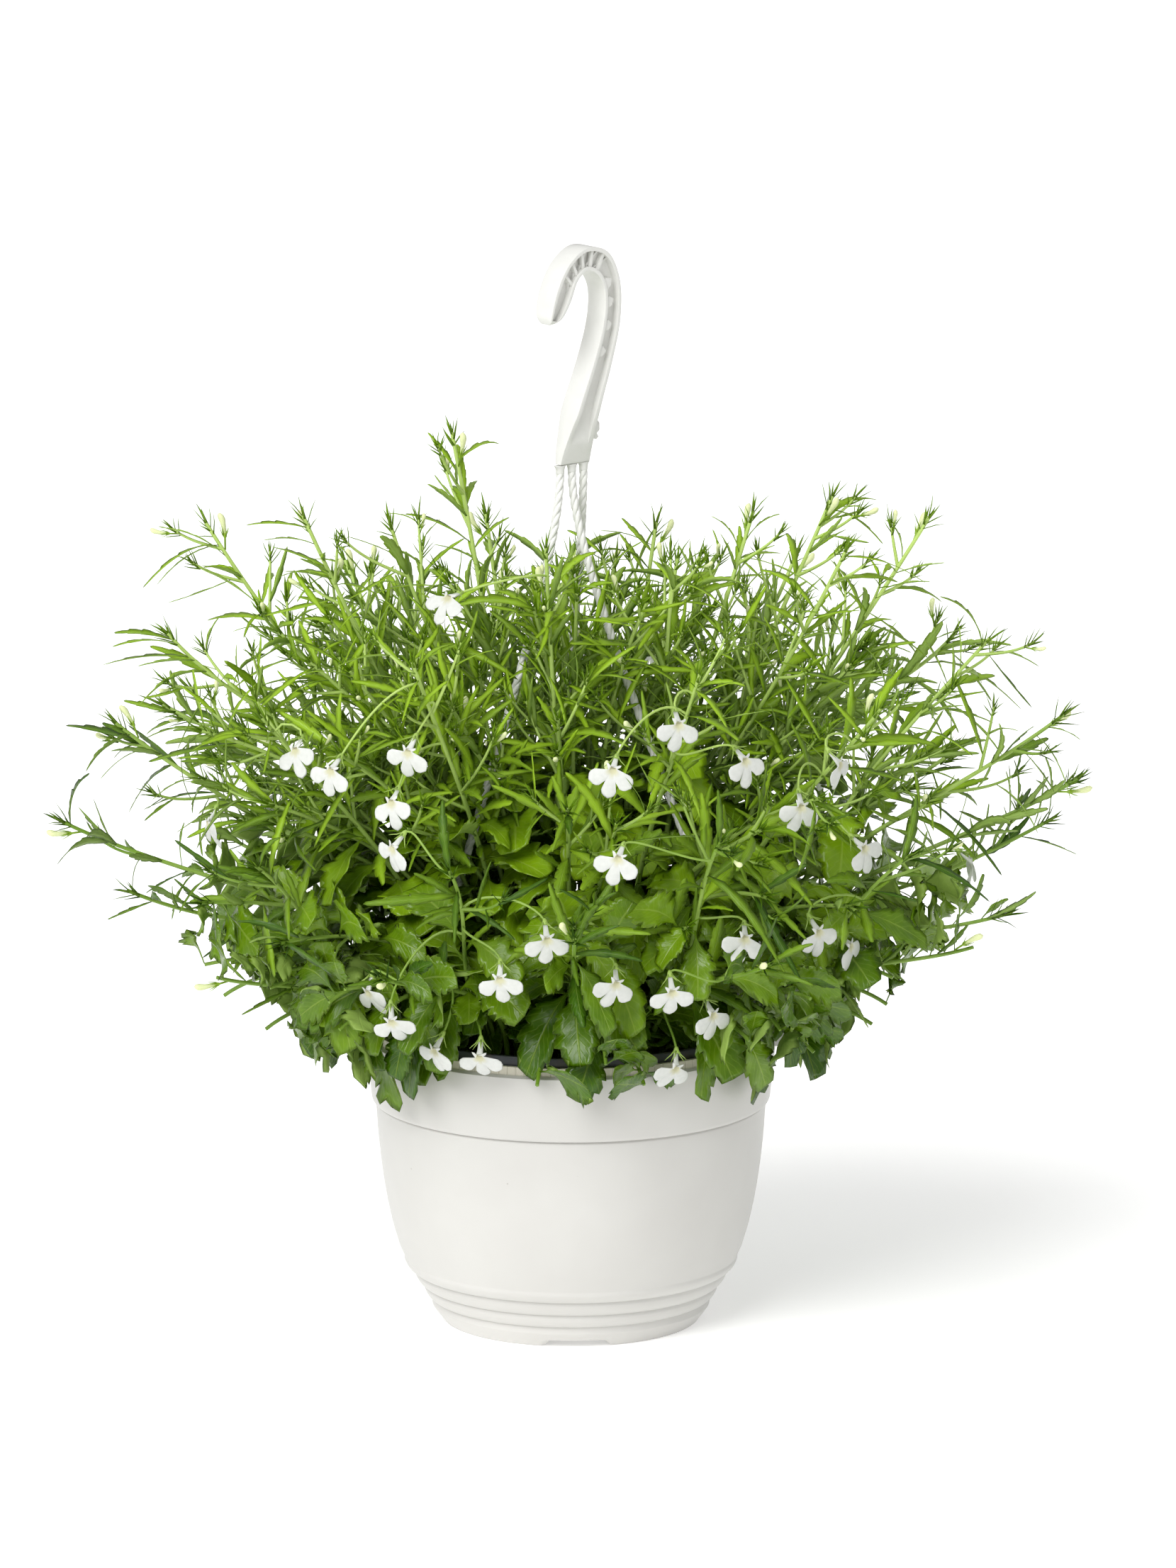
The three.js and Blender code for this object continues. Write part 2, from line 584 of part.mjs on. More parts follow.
// A shoot is three-sided. A main shoot has one more ring, step -1, straight down in its hole in the compost,
// and a side shoot starts with the root ring on the facet it grows from.
function shootRing(shoot, step) {
  if (shoot.root && step === 0) return shoot.root;
  const t = Math.max(0, step / stepsOf(shoot));
  const { level, raised } = frameAt(shoot, t);
  const centre = shoot.curve.getPoint(t);
  if (step < 0) centre.z = SOIL_TOP - HOLE.depth + 2 * GAP;
  const thick = shoot.main ? SHOOT.foot : SHOOT.side;
  const radius = thick + (SHOOT.tip - thick) * t;
  return Array.from({ length: SIDES }, (_, k) => {
    const angle = shoot.spin + k * 2 * Math.PI / SIDES;
    return centre.clone()
      .addScaledVector(level, radius * Math.cos(angle))
      .addScaledVector(raised, radius * Math.sin(angle));
  });
}

// Each step of a shoot has two levels of facets, low ones widest at the bottom and high ones widest at the
// top, three of each. Whatever grows from a shoot takes up one facet, and starts from its middle.
function facetOf(shoot, level, side) {
  const step = Math.floor(level / 2);
  const high = level % 2 === 1;
  const [below, above] = [shootRing(shoot, step), shootRing(shoot, step + 1)];
  const next = (side + 1) % SIDES;
  const [a, b, c] = high ? [below[side], above[next], above[side]] : [below[side], below[next], above[next]];
  const middle = a.clone().add(b).add(c).divideScalar(3);
  const across = high ? b.clone().sub(c) : b.clone().sub(a);
  const half = across.length() * ROOT.across;
  const out = b.clone().sub(a).cross(c.clone().sub(a)).normalize();
  across.normalize();
  const along = out.clone().cross(across);
  const corners = high ? [[-1, -1], [1, -1], [0, 1]] : [[-1, 1], [0, -1], [1, 1]];
  const root = corners.map(([x, y]) => middle.clone()
    .addScaledVector(across, x * half)
    .addScaledVector(along, y * ROOT.along));
  return { shoot, level, side, high, middle, across, along, out, root };
}

const facetName = (level, side) => `${level}.${side}`;

function unused(shoot, level, side) {
  return level >= 0 && level < 2 * stepsOf(shoot) && !shoot.growths.has(facetName(level, side));
}

// The unused facet at a level that looks most nearly towards `aim`.
function facetTowards(shoot, level, aim) {
  const sides = [0, 1, 2].filter((side) => unused(shoot, level, side));
  const open = sides.map((side) => facetOf(shoot, level, side));
  const gain = ({ middle, out }) => aim.clone().sub(middle).dot(out);
  return open.sort((a, b) => gain(b) - gain(a))[0];
}

function sideCurve(facet, tip) {
  const start = facet.middle;
  const chord = start.distanceTo(tip);
  const leave = start.clone()
    .addScaledVector(facet.along, SIDE_COURSE.along * chord)
    .addScaledVector(facet.out, SIDE_COURSE.out * chord);
  const bend = tip.clone().addScaledVector(tipHeading(tip), -SIDE_COURSE.bend * chord);
  return new THREE.CubicBezierCurve3(start, leave, bend, tip);
}

// Whether something that grows from a stem keeps clear: near its root it may lie by its own stem's shoots.
function growsFree(balls, stem) {
  const near = Math.ceil(balls.length * NEAR_OWN);
  return isFree(balls.slice(0, near), [stem]) && isFree(balls.slice(near), []);
}

const stems = [];
const shoots = [];

function planStem(tips, stem) {
  const [tip, sideTip] = tips.map(([x, y, z]) => new THREE.Vector3(x, y, z));
  const main = { stem, main: true, spin: draw(0, 2 * Math.PI), growths: new Map() };
  for (let attempt = 0; attempt < COURSE.tries; attempt += 1) {
    const sway = draw(-COURSE.sway, COURSE.sway) * (1 + attempt / 3);
    main.curve = mainCurve(tip, sway, draw(COURSE.low, COURSE.high));
    if (isFree(curveBalls(main.curve, SHOOT.foot, COURSE.clearFrom), [])) break;
  }
  take(curveBalls(main.curve, SHOOT.foot), stem);
  stems.push(main);
  shoots.push(main);
  if (!sideTip) return;
  const start = Math.floor(SHOOT.fork * 2 * SHOOT.steps);
  const facets = LEVEL_TRIES.map((shift) => facetTowards(main, start + shift, sideTip));
  const side = { stem, main: false, growths: new Map() };
  const facet = facets.find((choice) => {
    side.curve = sideCurve(choice, sideTip);
    return growsFree(curveBalls(side.curve, SHOOT.side), stem);
  }) ?? facets[0];
  side.curve = sideCurve(facet, sideTip);
  side.root = facet.root;
  side.spin = spinAfter(facet.root, frameAt(side, 1 / SHOOT.sideSteps));
  take(curveBalls(side.curve, SHOOT.side), stem);
  main.growths.set(facetName(facet.level, facet.side), { kind: 'shoot', facet, shoot: side });
  shoots.push(side);
}

// ---- leaves

function leafOn(facet, kind, scale) {
  const form = LEAVES[kind];
  const { middle: root, across, along, out } = facet;
  const ahead = along.clone().multiplyScalar(Math.cos(form.spread))
    .addScaledVector(out, Math.sin(form.spread));
  const face = ahead.clone().cross(across);
  return { kind, facet, root, ahead, across, face, length: form.length * scale, scale };
}

function leafPoint(leaf, share) {
  const { curl, sag } = LEAVES[leaf.kind];
  return leaf.root.clone()
    .addScaledVector(leaf.ahead, leaf.length * share)
    .addScaledVector(leaf.face, -leaf.length * curl * share * share)
    .addScaledVector(UP, -leaf.length * sag * share * share);
}

function halfWidthAt(leaf, share) {
  const { outline, width } = LEAVES[leaf.kind];
  const rows = [LEAF_FOOT, ...outline, LEAF_END];
  const next = rows.findIndex(([along]) => along >= share && along > 0);
  const [[a, wa], [b, wb]] = [rows[next - 1], rows[next]];
  return (wa + (wb - wa) * (share - a) / (b - a)) * width * leaf.scale / 2;
}

function leafBalls(leaf) {
  const balls = [];
  const count = Math.ceil(leaf.length / BALL_STEP);
  for (let i = 1; i <= count; i += 1) {
    const share = i / count;
    const half = Math.max(halfWidthAt(leaf, share), halfWidthAt(leaf, share - LEAF_ROOM.back / count));
    const across = Math.ceil(half * 2 / BALL_STEP);
    for (let k = 0; k < across; k += 1) {
      const offset = across === 1 ? 0 : -half + 2 * half * (k + 0.5) / across;
      const at = leafPoint(leaf, share).addScaledVector(leaf.across, offset);
      balls.push({ at, radius: Math.hypot(BALL_STEP / 2, Math.min(half, BALL_STEP / 2)) + LEAF_ROOM.over });
    }
  }
  return balls;
}

const leafMark = (stem) => `leaf of ${stem}`;

function planLeaf(shoot, t, kind, firstSide) {
  const scale = draw(0.82, 1.12);
  const middle = Math.floor(t * 2 * stepsOf(shoot));
  for (const level of LEVEL_TRIES.map((shift) => middle + shift)) {
    for (let turn = 0; turn < SIDES; turn += 1) {
      const side = (firstSide + turn) % SIDES;
      if (!unused(shoot, level, side)) continue;
      const facet = facetOf(shoot, level, side);
      const leaf = leafOn(facet, kind, scale);
      const balls = leafBalls(leaf);
      if (!growsFree(balls, shoot.stem)) continue;
      take(balls, leafMark(shoot.stem));
      shoot.growths.set(facetName(level, side), { kind: 'leaf', facet, leaf });
      return;
    }
  }
}

function planLeaves(shoot) {
  const { v3: tip } = shoot.curve;
  const outer = Math.hypot(tip.x, tip.y) > OUTER;
  const broadBelow = tip.z < LOW ? LOW_BROAD : 0;
  const plan = [];
  if (shoot.main) {
    plan.push(...(outer ? BROAD_OUTER : BROAD_INNER).map((t) => [t, 'broad']));
    plan.push(...MIDDLE_AT.map((t) => [t, 'middle']));
    plan.push(...NARROW_AT.map((t) => [t, 'narrow']));
  } else {
    plan.push(...SIDE_AT.map((t) => [t, t < broadBelow ? 'broad' : 'narrow']));
  }
  plan.forEach(([t, kind], i) => planLeaf(shoot, t, kind, (2 * i) % SIDES));
}

// ---- flowers

const blooms = [];

function bloomAt(mouth) {
  const { middle, tilt, aside, down, up: most, roll: rolls } = BLOOM_FACE;
  const face = new THREE.Vector3(mouth.x, mouth.y, (mouth.z - middle) * tilt).normalize();
  face.x += draw(-aside, aside);
  face.y += draw(-aside, aside);
  face.z += draw(down, most);
  face.normalize();
  const side = UP.clone().cross(face).normalize();
  const roll = draw(-rolls, rolls);
  const top = face.clone().cross(side);
  const up = top.multiplyScalar(Math.cos(roll)).addScaledVector(side, Math.sin(roll));
  side.crossVectors(up, face);
  const back = up.clone().multiplyScalar(BLOOM.tubeLean)
    .addScaledVector(face, -Math.sqrt(1 - BLOOM.tubeLean ** 2));
  return { mouth, face, up, side, back };
}

function bloomBalls({ mouth, face, up, side, back }) {
  const inFront = FACE_ROOM.map(([x, y, z, radius]) => ({
    at: mouth.clone().addScaledVector(side, x).addScaledVector(up, y).addScaledVector(face, z),
    radius,
  }));
  const behind = TUBE_ROOM.map(([reach, radius]) => ({
    at: mouth.clone().addScaledVector(back, reach),
    radius,
  }));
  return [...inFront, ...behind];
}

function pedicelTo(bloom, facet) {
  const start = facet.middle;
  const end = bloom.mouth.clone().addScaledVector(bloom.back, BLOOM.tube + GAP);
  const arch = end.clone().addScaledVector(bloom.back, PEDICEL.arch);
  const reach = start.distanceTo(arch);
  const leave = start.clone()
    .addScaledVector(facet.out, PEDICEL.out * reach)
    .addScaledVector(facet.along, PEDICEL.along * reach);
  return new THREE.CubicBezierCurve3(start, leave, arch, end);
}

function bendsGently(curve) {
  const headings = STALK_AT.map((t) => heading(curve, t));
  return headings.slice(1).every((next, i) => next.dot(headings[i]) > STALK_KEEPS);
}

// The facets that a flower's stalk could well start from, the nearest first.
function stalkStarts(end) {
  const starts = [];
  for (const shoot of shoots) {
    for (let level = PEDICEL.from; level < 2 * stepsOf(shoot); level += 1) {
      const facet = facetTowards(shoot, level, end);
      if (!facet) continue;
      const gap = facet.middle.distanceTo(end);
      if (gap < PEDICEL.least || gap > PEDICEL.most) continue;
      starts.push({ facet, cost: gap + Math.max(0, facet.middle.z - end.z) });
    }
  }
  return starts.sort((a, b) => a.cost - b.cost).slice(0, PEDICEL.tries).map(({ facet }) => facet);
}

function planBloom([x, y, z], index) {
  const own = `flower ${index}`;
  for (let attempt = 0; attempt < BLOOM_FACE.tries; attempt += 1) {
    const shift = attempt * BLOOM_FACE.shift;
    const [byX, byY, byZ] = [draw(-1, 1) * shift, draw(-1, 1) * shift, draw(-1, 1) * shift];
    const mouth = new THREE.Vector3(x + byX, y + byY, z + byZ);
    const bloom = bloomAt(mouth);
    const balls = bloomBalls(bloom);
    if (!isFree(balls, [])) continue;
    take(balls, own);
    const end = bloom.mouth.clone().addScaledVector(bloom.back, BLOOM.tube + PEDICEL.arch);
    for (const facet of stalkStarts(end)) {
      const { shoot, level, side } = facet;
      bloom.pedicel = pedicelTo(bloom, facet);
      const stalk = curveBalls(bloom.pedicel, PEDICEL.calyx);
      if (!bendsGently(bloom.pedicel)) continue;
      if (!growsFree(stalk.slice(0, -2), shoot.stem) || !isFree(stalk.slice(-2), [own])) continue;
      bloom.separate = blooms.filter((other) => other.separate).length < BLOOM_NODES;
      take(stalk, leafMark(shoot.stem));
      shoot.growths.set(facetName(level, side), { kind: 'stalk', facet, bloom });
      blooms.push(bloom);
      return;
    }
    giveBack(own);
  }
}

// A bud that stands out on a short stalk below a shoot's tip.
function planBud(shoot) {
  const middle = Math.floor(BUD.at * 2 * stepsOf(shoot));
  for (const level of LEVEL_TRIES.map((shift) => middle + shift)) {
    for (let side = 0; side < SIDES; side += 1) {
      if (!unused(shoot, level, side)) continue;
      const facet = facetOf(shoot, level, side);
      const ahead = facet.along.clone().multiplyScalar(Math.cos(BUD.spread))
        .addScaledVector(facet.out, Math.sin(BUD.spread));
      const spots = BUD.room.map((reach) => facet.middle.clone().addScaledVector(ahead, reach));
      const balls = spots.map((at) => ({ at, radius: Math.hypot(BALL_STEP / 2, BUD.thick) + GAP }));
      if (!growsFree(balls, shoot.stem)) continue;
      take(balls, leafMark(shoot.stem));
      shoot.growths.set(facetName(level, side), { kind: 'bud', facet, ahead });
      return;
    }
  }
}

for (const leg of LEGS) take(curveBalls(legCurve(leg), LEG_RADIUS), leg.name);
STEMS.forEach((tips, i) => planStem(tips, i));
BLOOMS.forEach((place, i) => planBloom(place, i));
stems.forEach((main) => planBud(main));
shoots.forEach((shoot) => planLeaves(shoot));

// ---------------------------------------------------------------- the plant's solids

function axesSquareTo(along) {
  const level = Math.abs(along.z) > 0.999 ? new THREE.Vector3(1, 0, 0) : along.clone().cross(UP).normalize();
  return { level, raised: along.clone().cross(level) };
}

// A ring of points round `centre`, level to raised.
function ringAt(centre, { level, raised }, radius, sides, spin = 0) {
  return Array.from({ length: sides }, (_, k) => {
    const angle = spin + k * 2 * Math.PI / sides;
    return centre.clone()
      .addScaledVector(level, radius * Math.cos(angle))
      .addScaledVector(raised, radius * Math.sin(angle));
  });
}

// A ring of slim points: each runs out and ahead from between two inner points.
function star(centre, { level, raised, along }, spin, count, inner, outer) {
  return Array.from({ length: 2 * count }, (_, k) => {
    const [out, ahead] = k % 2 ? outer : inner;
    const angle = spin + k * Math.PI / count;
    return centre.clone()
      .addScaledVector(level, out * Math.cos(angle))
      .addScaledVector(raised, out * Math.sin(angle))
      .addScaledVector(along, ahead);
  });
}

// The spin that makes a ring's first point follow on from that of the ring before it.
function spinAfter(before, { level, raised }) {
  const sum = before.reduce((total, point) => total.add(point), new THREE.Vector3());
  const first = before[0].clone().sub(sum.divideScalar(before.length));
  return Math.atan2(first.dot(raised), first.dot(level));
}

// A blade's corners at `share` of its length: a broad one is flat with a rim, a slim one has a keel.
function bladeRing(leaf, share, half) {
  const { across, face, facet } = leaf;
  const centre = leafPoint(leaf, share);
  const ahead = leafPoint(leaf, share + 0.01).sub(leafPoint(leaf, share - 0.01)).normalize();
  const over = ahead.clone().cross(across).multiplyScalar(LEAVES[leaf.kind].thick / 2);
  const flat = facet.high ? [[-1, -1], [1, -1], [1, 1], [-1, 1]] : [[-1, 1], [-1, -1], [1, -1], [1, 1]];
  const keeled = facet.high ? [[-1, -1], [1, -1], [0, 1]] : [[-1, 1], [0, -1], [1, 1]];
  return (leaf.kind === 'broad' ? flat : keeled).map(([x, y]) => centre.clone()
    .addScaledVector(across, x * half)
    .addScaledVector(over, y));
}

function growLeaf(body, from, { facet, leaf }) {
  const { width, outline } = LEAVES[leaf.kind];
  const rings = [facet.root];
  for (const [along, half] of outline) rings.push(bladeRing(leaf, along, half * width * leaf.scale / 2));
  if (leaf.kind !== 'broad') rings.push([leafPoint(leaf, 1)]);
  carryOn(body, from, rings, leaf.kind === 'broad' ? (facet.high ? 2 : 3) : undefined);
}

function growBud(body, from, { facet, ahead }) {
  const axes = axesSquareTo(ahead);
  const spin = spinAfter(facet.root, axes);
  const at = (reach) => facet.middle.clone().addScaledVector(ahead, reach);
  carryOn(body, from, [facet.root, ringAt(at(BUD.stalk), axes, PEDICEL.thick, SIDES, spin),
    ringAt(at(BUD.swell), axes, BUD.thick, SIDES, spin), [at(BUD.length)]]);
}

// The stalk of a flower and its calyx, whose slim sepals stand out round the tube. A flower that is not a
// piece of its own goes on from the calyx.
function growStalk(body, from, { facet, bloom }) {
  const { pedicel, back, side, separate } = bloom;
  const rings = [facet.root];
  for (const t of STALK_AT.slice(1, -1)) {
    const square = axesSquareTo(heading(pedicel, t));
    rings.push(ringAt(pedicel.getPoint(t), square, PEDICEL.thick, SIDES, spinAfter(rings.at(-1), square)));
  }
  const axes = { level: side, raised: side.clone().cross(back), along: back.clone().negate() };
  const spin = spinAfter(rings.at(-1), axes);
  const neck = pedicel.v3.clone().addScaledVector(back, PEDICEL.neck);
  rings.push(ringAt(neck, axes, PEDICEL.calyx, SIDES, spin));
  const calyx = star(pedicel.v3, axes, spin, PEDICEL.sepals, [PEDICEL.calyx, 0], PEDICEL.sepal);
  const cup = carryToStar(body, carryTo(body, from, rings), calyx);
  if (separate) {
    carryOn(body, cup, [[pedicel.v3.clone().addScaledVector(back, PEDICEL.cup)]]);
    return;
  }
  const onward = bloomRings(bloom).reverse();
  const gap = (corner) => body.corners[corner].distanceTo(onward[0][0]);
  const first = cup.indexOf([...cup].sort((a, b) => gap(a) - gap(b))[0]);
  carryOn(body, [...cup.slice(first), ...cup.slice(0, first)], onward);
}

// Carries a shoot on from `from` to its tip's tuft of needle-fine bracts, with all that grows from it. Its
// facets are numbered from a ring's first point, and so are the corners that a growth carries on from.
function growShoot(body, from, { shoot }) {
  let near = from;
  for (let step = 0; step <= stepsOf(shoot); step += 1) {
    const far = addRing(body, shootRing(shoot, step));
    const faces = band(near, far);
    faces.forEach((face, i) => {
      const name = facetName(2 * (step - 1) + (i % 2 === 0 ? 1 : 0), Math.floor(i / 2));
      const growth = step > 0 ? shoot.growths.get(name) : undefined;
      if (growth) GROWERS[growth.kind](body, face, growth);
      else body.faces.push(face);
    });
    near = far;
  }
  const { v3 } = shoot.curve;
  const axes = frameAt(shoot, 1);
  const bracts = star(v3, axes, shoot.spin, TUFT.count, TUFT.inner, TUFT.outer);
  carryOn(body, carryToStar(body, near, bracts), [[v3.clone().addScaledVector(axes.along, TUFT.length)]]);
}

const GROWERS = { leaf: growLeaf, bud: growBud, stalk: growStalk, shoot: growShoot };

// A flower's rings of points from its face to the end of its tube.
function bloomRings({ mouth, face, up, side, back }) {
  const place = (x, y, z) => mouth.clone()
    .addScaledVector(side, x).addScaledVector(up, y).addScaledVector(face, z);
  const lips = LIPS.map(([degrees, reach, lift]) => {
    const angle = THREE.MathUtils.degToRad(degrees - 90);
    return [reach * Math.cos(angle), reach * Math.sin(angle), lift];
  });
  const front = lips.map(([x, y, z]) => place(x, y, z));
  const behind = lips.map(([x, y, z]) => place(x, y, z - BLOOM.thick));
  const { thick, neck, mouthRadius, tube, tubeRadius, tubeSides, spin } = BLOOM;
  const mouthAxes = { level: side, raised: up };
  const throat = ringAt(place(0, 0, -thick - neck), mouthAxes, mouthRadius, tubeSides, spin);
  const axes = { level: side, raised: side.clone().cross(back) };
  const tail = ringAt(mouth.clone().addScaledVector(back, tube), axes, tubeRadius, tubeSides, spin);
  return [[place(0, 0, 0)], front, behind, throat, tail];
}

function makeBloom(bloom) {
  const { body, from } = startBody(bloomRings(bloom).at(-1));
  carryOn(body, from, bloomRings(bloom).reverse().slice(1));
  return solidOf(bodyGeometry(body));
}

function makeStem(main) {
  const { body, from } = startBody(shootRing(main, -1));
  growShoot(body, from, { shoot: main });
  return solidOf(bodyGeometry(body));
}

// ---------------------------------------------------------------- the whole part

const twoDigits = (number) => String(number + 1).padStart(2, '0');

const pot = new THREE.Group();
pot.add(piece('pot', makePot(), FINISHES.pot));
pot.add(piece('liner', makeLiner(), FINISHES.liner));
pot.add(piece('soil', makeSoil(stems), FINISHES.soil));
for (const leg of LEGS) pot.add(piece(leg.name, makeLeg(leg), FINISHES.hanger));
stems.forEach((stem, i) => pot.add(piece(`stem_${twoDigits(i)}`, makeStem(stem), FINISHES.leaf)));
blooms.filter((bloom) => bloom.separate).forEach((bloom, i) => {
  pot.add(piece(`bloom_${twoDigits(i)}`, makeBloom(bloom), FINISHES.petal));
});
pot.position.copy(HOOK_PLACE).negate();

const hook = piece('hook', makeHook(), FINISHES.hanger);
hook.rotation.z = HOOK_TURN;

const part = new THREE.Group();
part.add(hook, pot);

export default part;
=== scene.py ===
"""A trailing lobelia in its white hanging pot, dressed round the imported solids.

The sizes in each section are millimetres, measured from the centre of the pot's foot, +Z up and -Y the
front. `place` takes them to metres in the frame, whose origin is the inside top of the hook.
"""

import math
from itertools import product

import bmesh
import bpy
import numpy as np
from mathutils import Matrix, Vector, noise


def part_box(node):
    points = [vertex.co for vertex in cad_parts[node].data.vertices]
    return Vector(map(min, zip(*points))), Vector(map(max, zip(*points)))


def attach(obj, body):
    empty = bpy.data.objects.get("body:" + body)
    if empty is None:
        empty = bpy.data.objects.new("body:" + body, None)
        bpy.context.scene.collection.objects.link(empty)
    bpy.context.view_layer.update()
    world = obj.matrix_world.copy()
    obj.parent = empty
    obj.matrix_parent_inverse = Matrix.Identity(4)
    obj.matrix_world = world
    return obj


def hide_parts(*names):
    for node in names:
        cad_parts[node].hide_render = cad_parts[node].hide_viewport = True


for name in ("Cube", "Light", "Camera"):
    if name in bpy.data.objects:
        bpy.data.objects.remove(bpy.data.objects[name])
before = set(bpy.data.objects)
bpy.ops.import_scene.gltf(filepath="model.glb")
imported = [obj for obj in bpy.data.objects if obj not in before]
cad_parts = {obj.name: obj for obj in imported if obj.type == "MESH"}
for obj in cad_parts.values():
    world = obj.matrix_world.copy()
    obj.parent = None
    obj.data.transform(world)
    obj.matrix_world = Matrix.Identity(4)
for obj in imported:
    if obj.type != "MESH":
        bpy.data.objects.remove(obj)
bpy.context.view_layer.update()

# ---------------------------------------------------------------- outer pot
# The outer pot is one injection moulding of white polypropylene: a tapered wall on three swelling ribs, a
# band that stands proud below the thin lip, a notched foot ring, and a small lug on each side of the band.

MM = 0.001
pot_low, pot_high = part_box("pot")
FOOT = np.array(((pot_low.x + pot_high.x) / 2, (pot_low.y + pot_high.y) / 2, pot_low.z))

POT_SIDES = 160
# The underside and the foot ring's profile, from the middle of the base out to the lowest rib.
BASE = [(0, 3.5), (52, 3.5), (58, 3.5), (58, 0), (63, 0), (65.6, 3.5), (68.4, 7.4)]
NOTCH = {"count": 4, "half": 16.5, "height": 3.5, "turn": 0.05}
RIBS = [(67.8, 10.9), (72, 17.9), (76.8, 25.6), (81.8, 31.8)]
RIB_BULGE = 1.7
WALL = [(84.4, 37.5), (88, 50), (91.6, 68), (94.4, 90), (95.8, 109.6)]
BAND = [(97.9, 112.5), (101, 143)]
BAND_EDGE = [(94.9, 110.6), (97.4, 111)]
LIP = [(98.2, 144), (98.2, 148), (95.8, 148)]
POT_INSIDE = [(95.8, 141), (86, 50), (63, 7), (0, 7)]
LUG = {"reach": 104.6, "root": 98.8, "width": 9, "bottom": 137, "top": 144}
POT_EDGE = 0.45
SCORE_SPACING = 4.3


def place(points):
    """Points in millimetres from the pot's foot, as metres in the frame."""
    return FOOT + MM * np.asarray(points, float)


def new_object(name, corners, faces=(), edges=(), values=None, shown=True):
    """An object at the origin. `values` names what each corner carries, for a tree or a material to read."""
    mesh = bpy.data.meshes.new(name)
    mesh.from_pydata([tuple(point) for point in corners], edges, [tuple(face) for face in faces])
    for key, each in (values or {}).items():
        each = np.asarray(each, float)
        kind, field = ("FLOAT_VECTOR", "vector") if each.ndim == 2 else ("FLOAT", "value")
        mesh.attributes.new(key, kind, "POINT").data.foreach_set(field, each.ravel())
    mesh.update()
    mesh.shade_smooth()
    made = bpy.data.objects.new(name, mesh)
    if shown:
        bpy.context.scene.collection.objects.link(made)
    return made


def turned(profile, sides):
    """Corners and faces of a profile of (radius, height) turned about Z, from its bottom outwards and up."""
    corners, faces, rings = [], [], []
    for radius, height in profile:
        start = len(corners)
        if radius == 0:
            corners.append((0, 0, height))
            rings.append([start] * sides)
            continue
        for k in range(sides):
            angle = 2 * math.pi * k / sides
            corners.append((radius * math.cos(angle), radius * math.sin(angle), height))
        rings.append([start + k for k in range(sides)])
    for near, far in zip(rings, rings[1:]):
        for k in range(sides):
            n = (k + 1) % sides
            face = [near[k], near[n], far[n], far[k]]
            faces.append(list(dict.fromkeys(face)))
    return corners, faces


def swelling(low, high, bulge, steps=9):
    """A rib's profile from one groove to the next, without its last point."""
    along = np.array(high) - np.array(low)
    out = np.array((along[1], -along[0])) / np.hypot(*along)
    shares = np.arange(steps) / steps
    return [tuple(np.array(low) + along * s + out * bulge * math.sin(math.pi * s) ** 0.5) for s in shares]


def eased(points, between=3):
    """The line through the points with more of them, bending evenly."""
    points = [np.array(point, float) for point in points]
    ends = [2 * points[0] - points[1], *points, 2 * points[-1] - points[-2]]
    line = []
    for a, b, c, d in zip(ends, ends[1:], ends[2:], ends[3:]):
        for i in range(between):
            t = i / between
            line.append(tuple(
                b + 0.5 * t * (c - a + t * (2 * a - 5 * b + 4 * c - d + t * (3 * (b - c) + d - a)))))
    return [*line, tuple(points[-1])]


def block(low, high):
    """Corners and faces of a plain block."""
    corners = [(x, y, z) for z in (low[2], high[2]) for x, y in (
        (low[0], low[1]), (high[0], low[1]), (high[0], high[1]), (low[0], high[1]))]
    sides = [[k, (k + 1) % 4, 4 + (k + 1) % 4, 4 + k] for k in range(4)]
    return corners, [[3, 2, 1, 0], [4, 5, 6, 7], *sides]


def together(shapes):
    """Several (corners, faces) as one."""
    corners, faces = [], []
    for more_corners, more_faces in shapes:
        start = len(corners)
        corners += [tuple(point) for point in more_corners]
        faces += [[start + k for k in face] for face in more_faces]
    return corners, faces


def notched(corners):
    """The foot ring's underside lifted in its notches."""
    lifted = []
    for x, y, z in corners:
        for i in range(NOTCH["count"]):
            angle = NOTCH["turn"] + math.pi * 2 * i / NOTCH["count"] - math.pi / 2
            ahead = x * math.cos(angle) + y * math.sin(angle)
            aside = y * math.cos(angle) - x * math.sin(angle)
            if z < NOTCH["height"] and ahead > 0:
                z = min(max(z, NOTCH["half"] - abs(aside)), NOTCH["height"])
        lifted.append((x, y, z))
    return lifted


def rounded(made, width, segments=2, angle=30):
    """Rounds the sharp edges, as a mould does."""
    bevel = made.modifiers.new("moulded edges", "BEVEL")
    bevel.width = width * MM
    bevel.segments = segments
    bevel.limit_method = "ANGLE"
    bevel.angle_limit = math.radians(angle)
    bevel.use_clamp_overlap = True
    return made


def plain(made):
    """The object with its modifiers worked into a plain mesh."""
    shown = made.evaluated_get(bpy.context.evaluated_depsgraph_get())
    mesh = bpy.data.meshes.new_from_object(shown)
    made.modifiers.clear()
    made.data = mesh
    mesh.name = made.name
    return made


def sharp_shaded(made, degrees=35):
    """Smooth shading that stops at edges sharper than this."""
    made.data.set_sharp_from_angle(angle=math.radians(degrees))
    return made


